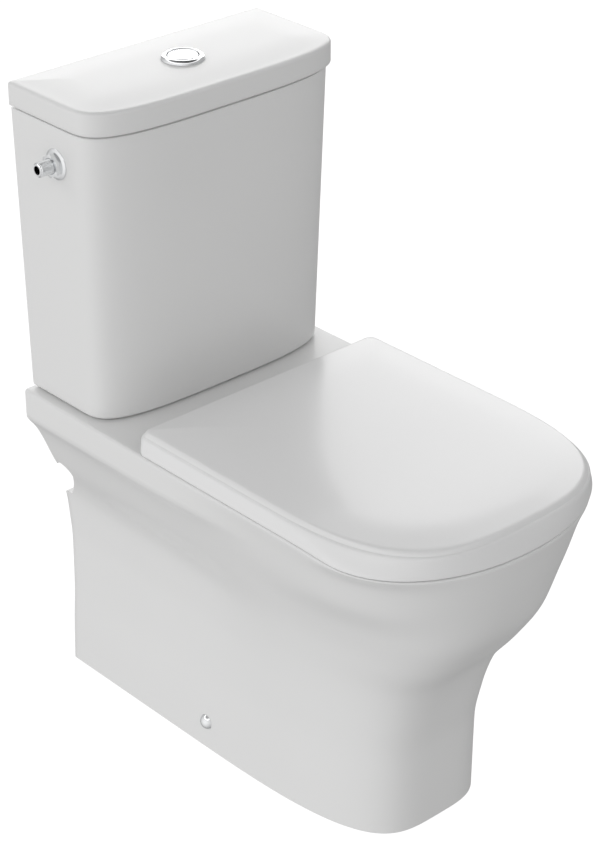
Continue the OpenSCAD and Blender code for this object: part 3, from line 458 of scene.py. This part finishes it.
rings = [tank_ring(BASE_Z, WALL), tank_ring(TANK_Z, WALL - 1), tank_ring(TANK_Z, FOOT_SET),
         tank_ring(TANK_Z + FOOT_STEP, FOOT_SET - 0.5)]
rings += rounded(tank_ring, TANK_Z + FOOT_STEP, FOOT_ROUND, -1)[::-1]
rings += [tank_ring(mix(TANK_Z + FOOT_STEP + FOOT_ROUND, TOP_Z - REBATE_H - TOP_ROUND, i / 8))
          for i in range(1, 8)]
rings += rounded(tank_ring, TOP_Z - REBATE_H, TOP_ROUND, 1)
rings += [tank_ring(TOP_Z - REBATE_H, REBATE), tank_ring(TOP_Z, REBATE + 0.2)]
rings += [tank_ring(TOP_Z, WALL - 1.5), tank_ring(TOP_Z - 1.5, WALL)]
rings += [tank_ring(FLOOR_Z + FLOOR_ROUND * (1 - math.sin(a)),
                    WALL + FLOOR_ROUND * (1 - math.cos(a)))
          for a in (math.pi / 2 * i / 5 for i in range(6))]
cistern = loft("cistern_china", rings)

# %% [markdown]
# The cistern's floor has a hole for the flush valve and one for each bolt. The water comes in
# through a hole high in the side.

# %% Drill the cistern
INLET_Y, INLET_Z, INLET_X = -100, RIM + 299, -172.99
VALVE_HOLE_R, BOLT_HOLE_R, INLET_HOLE_R = 29.5, 5, 9.4
for x, r, sides in ((0, VALVE_HOLE_R, 64), (-BOLT_X, BOLT_HOLE_R, 32), (BOLT_X, BOLT_HOLE_R, 32)):
    carve(cistern, rod(r, (x, VALVE_Y, BASE_Z - 2), (x, VALVE_Y, FLOOR_Z + 2), sides))
carve(cistern, rod(INLET_HOLE_R, (INLET_X - 15, INLET_Y, INLET_Z),
                   (INLET_X + 15, INLET_Y, INLET_Z)))
soften(cistern)

# %% [markdown]
# ## The cistern lid
# The lid is a slab with a rolled top edge, slightly crowned so that water runs off. It hangs over
# the cistern by a few millimetres, and a lip under it keeps it from sliding.

# %% Loft the cistern lid
LID_Z, LID_H, CROWN = TOP_Z + 0.5, 27, 3.4
LID_TOP = LID_Z + LID_H
LID_POWER, LID_CORNER, LID_PLATE = 3.64, 4, 11
KEEP_IN, KEEP_T, KEEP_H = 15.5, 5, 7  # the lip that keeps the lid on the cistern
LID_ROLL, LID_ROLL_IN, BUTTON_HOLE_R = 5, 6.5, 20.2


def lid_ring(z, inset=0.0):
    return level(plan(LID_W / 2 - inset, DECK_Y - inset, DECK_Y - TANK_STOP * LID_D,
                      DECK_Y - LID_D + inset, LID_POWER, max(LID_CORNER - inset, SHARP),
                      side_n=16), z)


rings = [lid_ring(LID_TOP - LID_PLATE, KEEP_IN + 7), lid_ring(LID_Z - KEEP_H, KEEP_IN + KEEP_T),
         lid_ring(LID_Z - KEEP_H, KEEP_IN), lid_ring(LID_Z, KEEP_IN), lid_ring(LID_Z, 1),
         lid_ring(LID_Z + 0.3, 0.3), lid_ring(LID_Z + 1)]
rings += [lid_ring(mix(LID_Z + 1, LID_TOP - LID_ROLL, i / 4)) for i in range(1, 5)]
rings += [lid_ring(LID_TOP - LID_ROLL + LID_ROLL * math.sin(a) ** 0.9,
                   LID_ROLL_IN * (1 - math.cos(a)) ** 1.2)
          for a in (math.pi / 2 * i / 10 for i in range(1, 11))]
rings += [lid_ring(LID_TOP + CROWN * s, inset)
          for inset, s in ((13, 0.16), (19, 0.37), (28, 0.62), (38, 0.85), (50, 1))]
cistern_lid = loft("cistern_lid_china", rings)
carve(cistern_lid, rod(BUTTON_HOLE_R, (0, VALVE_Y, LID_Z), (0, VALVE_Y, LID_TOP + 20)))
soften(cistern_lid)

# %% [markdown]
# ## The seat lid
# The seat and its lid are moulded in a hard, glossy plastic. The lid wraps round the seat: a band
# drops to just above the rim, and the top rises from a soft roll to a nearly flat crown. The mesh
# is again one closed skin with its wall built in. At the back it is cut clear of the deck, which
# it would strike as it opens, and a window lets it turn round each hinge post.

# %% Loft the seat lid
LID_REAR, LID_LOW, BAND_TOP, COVER_CROWN, SKIN = 223, RIM + 1.8, RIM + 22.6, 13, 4
HINGE_Y, HINGE_Z, LID_SWING = -LID_REAR - 17, RIM + 18, 17.4
SIDE_LEAN, NOSE_GAP, NOSE_LEAN = 2.4, 0.5, 7.2
COVER_POWER, COVER_STOP, COVER_CORNER = 3.18, 0.634, 14
slope = curve([(0, 0), (1.3, 0.015), (3.6, 0.16), (5, 0.30), (6.5, 0.39), (8.5, 0.435),
               (12, 0.48), (20, 0.58), (34, 0.75), (60, 0.92), (100, 1)])


def cover_ring(z, inset=0.0):
    t = min(1, (z - LID_LOW) / (BAND_TOP - LID_LOW)) ** 2  # upright below, leaning near the top
    outline = plan(PAN_W / 2 - SIDE_LEAN * t - inset, -LID_REAR - inset,
                   -mix(RIM_STOP, COVER_STOP, t) * PAN_D,
                   -PAN_D + NOSE_GAP + NOSE_LEAN * t + inset, mix(RIM_POWER, COVER_POWER, t),
                   max(COVER_CORNER - inset, SHARP), side_n=14)
    return [(x, y, z - (1 - t) * dip(y)) for x, y in outline]


top_insets = [3.6, 4.2, 5, 5.7, 6.5, 7.4, 8.5, 10, 12, 15, 20, 26, 34, 44, 58, 76, 100]
rings = [cover_ring(BAND_TOP + COVER_CROWN * slope(i) - SKIN, i + 0.6) for i in top_insets[::-1]]
rings += [cover_ring(BAND_TOP - SKIN, SKIN + 0.6), cover_ring(LID_LOW, SKIN),
          cover_ring(LID_LOW, 0.8), cover_ring(LID_LOW + 0.4, 0.25), cover_ring(LID_LOW + 1.6)]
rings += [cover_ring(mix(LID_LOW + 1.6, BAND_TOP - 2, i / 9), 0.3 * i / 9) for i in range(1, 10)]
rings += [cover_ring(BAND_TOP - 1, 0.8), cover_ring(BAND_TOP, 1.8), cover_ring(BAND_TOP + 0.5, 2.7)]
rings += [cover_ring(BAND_TOP + COVER_CROWN * slope(i), i) for i in top_insets]
seat_lid = loft("seat_lid_shell", rings)

# %% [markdown]
# The lid turns on two pins, each in a round eye that a web ties to the moulding. Its tail is cut
# back to a cylinder round the pins, so that it clears the deck as it swings. Four bosses under
# the top carry rubber buffers. The seat ring gets the same eyes, so a helper makes them.

# %% Hinge eyes, windows and bosses
EYE_R, EYE_L, PIN_HOLE_R, LID_EYE_X, LID_WEB_H = 5.8, 14, 3.25, 55.5, 8.1
WINDOW_IN, WINDOW_OUT = 68.8, 100.7
BOSS_R, BOSSES = 7, ((128, 300), (92, 556))
WIDE = 300  # cutters reach past both sides of the seat


def turning(radius):
    """A cylinder round the hinge pins, wider than the seat."""
    return rod(radius, (-WIDE - 10, HINGE_Y, HINGE_Z), (WIDE + 10, HINGE_Y, HINGE_Z), 128)


def eyes(ob, x, front, behind, low, high):
    """Adds a hinge eye and its web on each side, from x outwards, and bores it for the pin."""
    for s in (-1, 1):
        near, far = sorted((s * x, s * (x + EYE_L)))
        eye = rod(EYE_R, (s * x, HINGE_Y, HINGE_Z), (s * (x + EYE_L), HINGE_Y, HINGE_Z), 48)
        web = block((near, HINGE_Y - front, HINGE_Z + low), (far, HINGE_Y + behind, HINGE_Z + high))
        carve(eye, web, "UNION")
        carve(ob, eye, "UNION")
        carve(ob, rod(PIN_HOLE_R, (s * (x - 2), HINGE_Y, HINGE_Z),
                      (s * (x + EYE_L + 2), HINGE_Y, HINGE_Z), 32))


cut = block((-WIDE, HINGE_Y, RIM - 2), (WIDE, HINGE_Y + 60, HINGE_Z))
carve(cut, turning(LID_SWING))
carve(seat_lid, cut)
for s in (-1, 1):
    low, high = sorted((s * WINDOW_IN, s * WINDOW_OUT))
    carve(seat_lid, block((low, HINGE_Y + 3, RIM), (high, HINGE_Y + 20, HINGE_Z)))
    for x, y in BOSSES:
        boss = rod(BOSS_R, (s * x, -y, BAND_TOP + 4), (s * x, -y, BAND_TOP + 9.85), 32)
        carve(seat_lid, boss, "UNION")
eyes(seat_lid, LID_EYE_X, front=EYE_R, behind=EYE_R, low=0, high=LID_WEB_H)
soften(seat_lid)

# %% [markdown]
# ## The seat ring
# The ring lies hidden while the lid is down. Its section is a low arch that falls to the rounded
# edge of the hole, so that it is comfortable to sit on. The loft goes once round that section and
# is closed on itself with a bridge. The ring ends in front of the lid's swinging tail, and a web
# on each side reaches back to its hinge eye.

# %% Loft the seat ring
SEAT_Z, SEAT_T = RIM + 4, 14
SEAT_TOP = SEAT_Z + SEAT_T
HOLE_W, HOLE_L, HOLE_POWER = 216, 300, 2.6
SIDE_GAP, REAR_GAP, FRONT_GAP = 8.4, 1.5, 11.39  # from the lid's outside
SEAT_POWER, SEAT_STOP, SEAT_CORNER, SEAT_ROLL = 2.508, 0.722, 10, 5
RING_SWING, EYE_GAP_IN, RING_EYE_X = 18.2, 54, 85.5
HOLE_Y = -(LID_REAR + REAR_GAP + 62 + HOLE_L / 2)


def seat_ring_at(z, inset=0.0):
    return level(plan(PAN_W / 2 - SIDE_GAP - inset, -LID_REAR - REAR_GAP - inset,
                      -SEAT_STOP * PAN_D, -PAN_D + FRONT_GAP + inset, SEAT_POWER,
                      max(SEAT_CORNER - inset, SHARP), side_n=14), z)


def hole_at(z, grow=0.0):
    return oval_like(seat_ring_at(z), HOLE_W / 2 + grow, HOLE_L / 2 + grow, HOLE_Y,
                     HOLE_POWER, z)


rings = [seat_ring_at(SEAT_Z, 3), seat_ring_at(SEAT_Z + 0.6, 1.6), seat_ring_at(SEAT_Z + 2, 0.6),
         seat_ring_at(SEAT_TOP - SEAT_ROLL)]
rings += [seat_ring_at(SEAT_TOP - SEAT_ROLL + SEAT_ROLL * math.sin(a), 6 * (1 - math.cos(a)))
          for a in quarter[1:]]
rings += [hole_at(SEAT_TOP - d, g) for d, g in ((0, 11), (0.5, 6.5), (1.6, 3.2), (3.4, 1), (7, 0))]
rings += [hole_at(SEAT_Z + 1.5, 0.6), hole_at(SEAT_Z, 2)]
seat_ring = loft("seat_ring_moulding", rings, ends=False)
carve(seat_ring, turning(RING_SWING))
carve(seat_ring, block((-WIDE, HINGE_Y, RIM - 2), (WIDE, HINGE_Y + 60, HINGE_Z + 20)))
for s in (-1, 1):
    low, high = sorted((s * EYE_GAP_IN, s * RING_EYE_X))
    carve(seat_ring, block((low, HINGE_Y - 17, SEAT_Z - 1), (high, HINGE_Y + 43, SEAT_TOP + 2)))
eyes(seat_ring, RING_EYE_X, front=22.2, behind=0, low=-10, high=-1)
soften(seat_ring)

# %% [markdown]
# ## Chrome
# Turned parts are spun: half of the section is drawn as a line of points and spun round its axis.
# The bezel is a low ring with a rolled edge, and the two flush buttons are halves of one shallow
# dome with a narrow gap between them.

# %% Spin the turned parts
def spin(name, section, origin, axis="Z", steps=96):
    """Spins a closed or open section of (radius, height) points round an axis at the origin."""
    bpy.ops.object.select_all(action="DESELECT")
    bpy.ops.mesh.primitive_plane_add(size=0.01)
    ob = bpy.context.object
    ob.name = ob.data.name = name
    bpy.ops.object.mode_set(mode="EDIT")
    bpy.ops.mesh.delete(type="VERT")
    bm = bmesh.from_edit_mesh(ob.data)
    verts = [bm.verts.new(put((r, 0, h))) for r, h in section]
    for a, b in zip(verts, verts[1:]):
        bm.edges.new((a, b))
    bmesh.update_edit_mesh(ob.data)
    bpy.ops.mesh.select_all(action="SELECT")
    bpy.ops.mesh.spin(steps=steps, angle=2 * math.pi, center=(0, 0, 0), axis=(0, 0, 1))
    bpy.ops.mesh.select_all(action="SELECT")
    bpy.ops.mesh.remove_doubles(threshold=1e-6)
    bpy.ops.mesh.normals_make_consistent(inside=False)
    done()
    if axis == "-X":
        ob.rotation_euler = (0, -math.pi / 2, 0)
    elif axis == "X":
        ob.rotation_euler = (0, math.pi / 2, 0)
    ob.location = put(origin)
    only(ob)
    bpy.ops.object.transform_apply(location=True, rotation=True, scale=True)
    return ob


def arc(cr, ch, r, start, end, n=8):
    """Points of a section's arc about (cr, ch), between two angles in degrees."""
    return [(cr + r * math.cos(math.radians(mix(start, end, i / n))),
             ch + r * math.sin(math.radians(mix(start, end, i / n)))) for i in range(n + 1)]


# %% Bezel and flush buttons
CROWN_TOP = LID_TOP + CROWN
BEZEL_R, BEZEL_H, BUTTON_R = 24.8, 4.8, 17.3
CAP_CLEAR, HALF_GAP, DOME_R = 0.4, 0.45, 120
ROD_X, ROD_HOLE_R, SOCKET_R = 8.5, 2.65, 5.2
section = [(BUTTON_R + 0.5, 0), (BEZEL_R - 0.4, 0)] + arc(BEZEL_R - 0.5, 0.5, 0.5, -80, 60, 4)
section += [(BEZEL_R - 0.5, 1.8), (BEZEL_R - 1.3, 3.2), (BEZEL_R - 2.6, 4.2), (BEZEL_R - 4.2, 4.7)]
section += [(BEZEL_R - 5.6, BEZEL_H), (BUTTON_R + 1.4, BEZEL_H - 0.1), (BUTTON_R + 0.7, 4.2),
            (BUTTON_R + 0.5, 3.6), (BUTTON_R + 0.5, 0)]
bezel = soften(spin("bezel_ring", section, (0, VALVE_Y, CROWN_TOP)), 40)

BUTTON_TOP = CROWN_TOP + BEZEL_H - 0.6
dome = [(0.001, -8), (BUTTON_R - CAP_CLEAR - 0.3, -8), (BUTTON_R - CAP_CLEAR, -7.7)]
dome += arc(BUTTON_R - CAP_CLEAR - 0.9, -0.95, 0.9, 0, 75, 5)
dome += [(r, 1.2 - (DOME_R - math.sqrt(DOME_R ** 2 - r * r))) for r in (15, 12, 9, 6, 3, 0.001)]
button_caps = {}
for name, side in (("full_button_cap", -1), ("half_button_cap", 1)):
    cap = spin(name, dome, (0, VALVE_Y, BUTTON_TOP))
    low, high = sorted((side * HALF_GAP, -side * 18))
    carve(cap, block((low, VALVE_Y - 30, 700), (high, VALVE_Y + 30, 900)))
    for r, depth in ((ROD_HOLE_R, 4), (SOCKET_R, 5)):
        carve(cap, rod(r, (side * ROD_X, VALVE_Y, BUTTON_TOP - 9),
                       (side * ROD_X, VALVE_Y, BUTTON_TOP - depth), 32))
    button_caps[name] = soften(cap, 40)

# %% [markdown]
# ## The water inlet and the screw caps
# A brass tail, chromed, comes through the cistern's side. A flange nut clamps it. The thread is a
# stack of small ridges here, which at this size looks the same as a helix and stays light.

# %% Spin and cut the inlet
INLET_OUT, TAIL_R, TAIL_BORE_R, TAIL_L = 26, 8.33, 5, 48
RIDGES, PITCH, RIDGE_H = 12, 1.34, 0.75
thread = [(TAIL_BORE_R, 0), (TAIL_R - 1.6, 0), (TAIL_R - 0.9, 0.7)]
for i in range(RIDGES):
    x = 1.4 + PITCH * i
    thread += [(TAIL_R - RIDGE_H, x), (TAIL_R, x + 0.45), (TAIL_R, x + 0.8),
               (TAIL_R - RIDGE_H, x + 1.25)]
thread += [(TAIL_R, 17.6), (TAIL_R, TAIL_L), (TAIL_BORE_R, TAIL_L), (TAIL_BORE_R, 0)]
tail = soften(spin("inlet_tail_thread", [(r, -h) for r, h in thread],
                   (INLET_X - INLET_OUT, INLET_Y, INLET_Z), "-X"), 25)

NUT_R, FLAT_R = TAIL_R + 0.05, 11.8
nut = [(NUT_R, 0), (16.9, 0)] + arc(16.6, 0.9, 0.9, -70, 60, 5)
nut += [(14.9, 2.6), (14.2, 2.9), (13.2, 9.0), (12.2, 9.5), (TAIL_R + 0.9, 9.5), (NUT_R, 8.8),
        (NUT_R, 0)]
inlet_nut = spin("inlet_nut_flange", nut, (INLET_X, INLET_Y, INLET_Z), "-X")
for k in range(6):
    flat = block((INLET_X - 9.6, INLET_Y - 20, INLET_Z + FLAT_R),
                 (INLET_X - 2.95, INLET_Y + 20, INLET_Z + 30))
    edit(flat)
    bpy.ops.transform.rotate(value=math.radians(60 * k + 30), orient_axis="X",
                             center_override=put((INLET_X, INLET_Y, INLET_Z)))
    done()
    carve(inlet_nut, flat)
soften(inlet_nut, 30)

# %% [markdown]
# A chromed dome hides the screw on each side of the foot. It is part of a ball, hollow behind.

# %% Spin the screw caps
CAP_R, CAP_H, CAP_X = 9.5, 6.4, FOOT_W / 2 - 1.4
ball = (CAP_R ** 2 + CAP_H ** 2) / (2 * CAP_H)
caps = []
for s in (-1, 1):
    dome = [(CAP_R - 1.6, 0), (CAP_R - 0.2, 0), (CAP_R, 0.3)]
    dome += [(r, CAP_H - ball + math.sqrt(ball ** 2 - r * r))
             for r in (9.1, 8.3, 7.2, 6, 4.6, 3, 1.5, 0.001)]
    dome += [(0.001, 4.4), (5.6, 4.2), (CAP_R - 1.9, 1.2), (CAP_R - 1.6, 0)]
    caps.append(spin("cap", dome, (s * CAP_X, SCREW_Y, SCREW_Z), "X" if s > 0 else "-X", 64))
caps = soften(join("screw_cap_domes", *caps), 40)

# %% [markdown]
# ## Finishes
# Glazed china is white clay under a thin layer of glass. The clay scatters the light, so the base
# colour is nearly neutral white with a very slow drift in tone, and the glass is a coat: smooth,
# but never perfectly flat, so a faint and broad bump bends its reflections a little.

# %% Build a finish from its nodes
def finish(name, colour, rough, drift=0.02, scale=6.0, bump=0.0, bump_scale=30.0, fine=0.02,
           metal=0.0, coat=0.0, coat_rough=0.05, grain=None):
    """A Principled surface whose tone, gloss and relief vary with noise on object coordinates."""
    m = bpy.data.materials.new(name)
    m.use_nodes = True
    nt = m.node_tree
    s = nt.nodes["Principled BSDF"]
    s.inputs["Metallic"].default_value = metal
    s.inputs["Coat Weight"].default_value = coat
    s.inputs["Coat Roughness"].default_value = coat_rough
    where = nt.nodes.new("ShaderNodeTexCoord")
    stretch = nt.nodes.new("ShaderNodeMapping")
    stretch.inputs["Scale"].default_value = grain or (1, 1, 1)
    nt.links.new(where.outputs["Object"], stretch.inputs["Vector"])

    def noise(size, detail=3.0):
        n = nt.nodes.new("ShaderNodeTexNoise")
        n.inputs["Scale"].default_value = size
        n.inputs["Detail"].default_value = detail
        nt.links.new(stretch.outputs["Vector"], n.inputs["Vector"])
        return n.outputs["Fac"]

    def ramp(fac, low, high):
        r = nt.nodes.new("ShaderNodeMapRange")
        r.inputs["From Min"].default_value = 0.3
        r.inputs["From Max"].default_value = 0.7
        r.inputs["To Min"].default_value = low
        r.inputs["To Max"].default_value = high
        nt.links.new(fac, r.inputs["Value"])
        return r.outputs["Result"]

    tone = nt.nodes.new("ShaderNodeMix")
    tone.data_type = "RGBA"
    tone.inputs["A"].default_value = (*[c * (1 - drift) for c in colour], 1)
    tone.inputs["B"].default_value = (*colour, 1)
    nt.links.new(ramp(noise(scale), 0, 1), tone.inputs["Factor"])
    nt.links.new(tone.outputs["Result"], s.inputs["Base Color"])
    nt.links.new(ramp(noise(scale * 2), rough * (1 - fine), rough * (1 + fine)),
                 s.inputs["Roughness"])
    if bump:
        b = nt.nodes.new("ShaderNodeBump")
        b.inputs["Strength"].default_value = 1.0
        b.inputs["Distance"].default_value = bump * MM
        nt.links.new(noise(bump_scale, 2.0), b.inputs["Height"])
        nt.links.new(b.outputs["Normal"], s.inputs["Normal"])
    return m


glaze = finish("china_glaze", (0.80, 0.80, 0.797), rough=0.38, drift=0.012, scale=5, bump=0.03,
               bump_scale=14, coat=0.3, coat_rough=0.10)
seat_gloss = finish("seat_gloss", (0.84, 0.84, 0.84), rough=0.30, drift=0.008, scale=8, bump=0.02,
                    bump_scale=26, coat=0.35, coat_rough=0.14)
chrome = finish("bright_chrome", (0.86, 0.87, 0.88), rough=0.07, drift=0.05, scale=60, bump=0.006,
                bump_scale=300, fine=0.05, metal=1.0)
white_plastic = finish("white_valve_moulding", (0.78, 0.79, 0.80), rough=0.42, drift=0.05,
                       scale=30, bump=0.03, bump_scale=500)
grey_plastic = finish("float_moulding", (0.36, 0.41, 0.47), rough=0.48, drift=0.08, scale=30,
                      bump=0.03, bump_scale=500)
nylon = finish("nylon_moulding", (0.66, 0.66, 0.64), rough=0.5, drift=0.08, scale=40, bump=0.04,
               bump_scale=400)
black_rubber = finish("black_rubber", (0.028, 0.028, 0.03), rough=0.62, drift=0.25, scale=90,
                      bump=0.05, bump_scale=700)
pale_rubber = finish("pale_rubber", (0.72, 0.73, 0.74), rough=0.6, drift=0.06, scale=90,
                     bump=0.04, bump_scale=600)
brass = finish("turned_brass", (0.76, 0.58, 0.27), rough=0.24, drift=0.12, scale=80, bump=0.02,
               bump_scale=260, fine=0.06, metal=1.0)
steel = finish("bright_steel", (0.60, 0.61, 0.63), rough=0.24, drift=0.08, scale=80, bump=0.015,
               bump_scale=340, fine=0.06, metal=1.0, grain=(1, 1, 6))

# %% [markdown]
# ## Dress the parts
# Each new piece rides on its part's body and stands for its part. A part that keeps its own mesh
# only gets its finish. A real pan is often unglazed inside its skirt. That shows only from behind,
# so the whole casting has one glaze here.

# %% Give every piece its finish
def dress(piece, body, node, material):
    piece.data.materials.clear()
    piece.data.materials.append(material)
    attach(piece, body)
    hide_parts(node)


dress(pan, "pan_and_cistern", "pan", glaze)
dress(cistern, "pan_and_cistern", "cistern", glaze)
dress(cistern_lid, "cistern_lid", "cistern_lid", glaze)
dress(bezel, "cistern_lid", "button_bezel", chrome)
dress(button_caps["full_button_cap"], "full_button", "full_flush_button", chrome)
dress(button_caps["half_button_cap"], "half_button", "half_flush_button", chrome)
dress(tail, "pan_and_cistern", "inlet_tail", chrome)
dress(inlet_nut, "pan_and_cistern", "inlet_nut", chrome)
dress(caps, "pan_and_cistern", "screw_caps", chrome)
dress(seat_lid, "seat_lid", "seat_lid", seat_gloss)
dress(seat_ring, "seat_ring", "seat_ring", seat_gloss)

by_slot = {"china": glaze, "seat_plastic": seat_gloss, "chrome_trim": chrome,
           "white_valve_plastic": white_plastic, "float_plastic": grey_plastic,
           "rubber_seal": black_rubber, "buffer_rubber": pale_rubber, "brass_bolts": brass,
           "steel": steel, "bracket_plastic": nylon}
for part in frame["record"]["subparts"]:
    node = frame["nodes"][part["node"]]
    node.data.materials.clear()
    node.data.materials.append(by_slot[part["material_slot"]])

# %% [markdown]
# ## Floor and light
# The toilet stands in a light tent. The floor is a wide, pale sheet that gives its own even light,
# so that no shadow shows on it, and it is left out of the bounce. The tent itself is the world: it
# is even all round, brighter on the left and a little dimmer below. A narrow brighter ring high in
# the tent draws the thin bright lines that a rolled edge of china shows in a studio, and a dim cap
# above it gives the chrome its dark bands. One large soft lamp behind, on the right, is mirrored
# in the flat tops: it makes them the brightest faces, except where they mirror the cistern.

# %% Stage
bpy.ops.object.select_all(action="DESELECT")
bpy.ops.mesh.primitive_plane_add(size=40, location=(0, 0, -0.0005))
floor = bpy.context.object
floor.name = "floor"
pale = bpy.data.materials.new("pale_floor")
pale.use_nodes = True
paper = pale.node_tree.nodes["Principled BSDF"]
paper.inputs["Base Color"].default_value = (0.1, 0.1, 0.1, 1)
paper.inputs["Specular IOR Level"].default_value = 0
paper.inputs["Emission Color"].default_value = (1, 1, 1, 1)
paper.inputs["Emission Strength"].default_value = 1.0
floor.data.materials.append(pale)
floor.visible_diffuse = False
floor.visible_glossy = False

# %% Tent
TENT_BASE, TENT_LEFT, TENT_LOW, TENT_RING, TENT_CAP = 0.47, 0.58, -0.15, 0.85, -0.36
RING_LOW, RING_HIGH, CAP_LOW, EDGE = 0.56, 0.72, 0.74, 0.06  # heights in the tent, 1 overhead
world = bpy.data.worlds.new("tent")
world.use_nodes = True
tent = world.node_tree
look = tent.nodes.new("ShaderNodeTexCoord")
split = tent.nodes.new("ShaderNodeSeparateXYZ")
tent.links.new(look.outputs["Generated"], split.inputs["Vector"])


def tent_part(axis, start, end, power):
    """Light that grows from nothing to its power as the direction's axis value goes to the end."""
    n = tent.nodes.new("ShaderNodeMapRange")
    n.inputs["From Min"].default_value = start
    n.inputs["From Max"].default_value = end
    n.inputs["To Min"].default_value = 0
    n.inputs["To Max"].default_value = power
    tent.links.new(split.outputs[axis], n.inputs["Value"])
    return n.outputs["Result"]


def add(a, b, how="ADD"):
    n = tent.nodes.new("ShaderNodeMath")
    n.operation = how
    tent.links.new(a, n.inputs[0])
    tent.links.new(b, n.inputs[1])
    return n.outputs["Value"]


ring = add(tent_part("Z", RING_LOW, RING_LOW + EDGE, TENT_RING),
           tent_part("Z", RING_HIGH, RING_HIGH + EDGE, TENT_RING), "SUBTRACT")
shade = add(tent_part("Z", 0, -1, TENT_LOW), tent_part("Z", CAP_LOW, CAP_LOW + EDGE, TENT_CAP))
total = add(add(tent_part("X", 0, -1, TENT_LEFT), shade), ring)
base = tent.nodes.new("ShaderNodeMath")
base.inputs[1].default_value = TENT_BASE
tent.links.new(total, base.inputs[0])
tent.links.new(base.outputs["Value"], tent.nodes["Background"].inputs["Strength"])
tent.nodes["Background"].inputs["Color"].default_value = (1, 1, 1, 1)
bpy.context.scene.world = world

# %% Lamp
LAMP_AT, LAMP_AIM = Vector((2.3, 2.4, 2.1)), Vector((0, -0.3, 0.5))
light = bpy.data.lights.new("back_lamp", "AREA")
light.shape, light.size, light.size_y, light.energy = "RECTANGLE", 4.0, 2.6, 58
back_lamp = bpy.data.objects.new("back_lamp", light)
bpy.context.scene.collection.objects.link(back_lamp)
back_lamp.location = LAMP_AT
back_lamp.rotation_euler = (LAMP_AIM - LAMP_AT).to_track_quat("-Z", "Y").to_euler()
bpy.context.scene.view_settings.view_transform = "Standard"
print("lamp of", light.energy, "W,", round((LAMP_AIM - LAMP_AT).length, 2), "m from what it lights")

# %% [markdown]
# ## The size
# The dressed toilet has to fill the same box as the CAD model. At the end the view layer is brought
# up to date.

# %% Finish
bpy.context.view_layer.update()
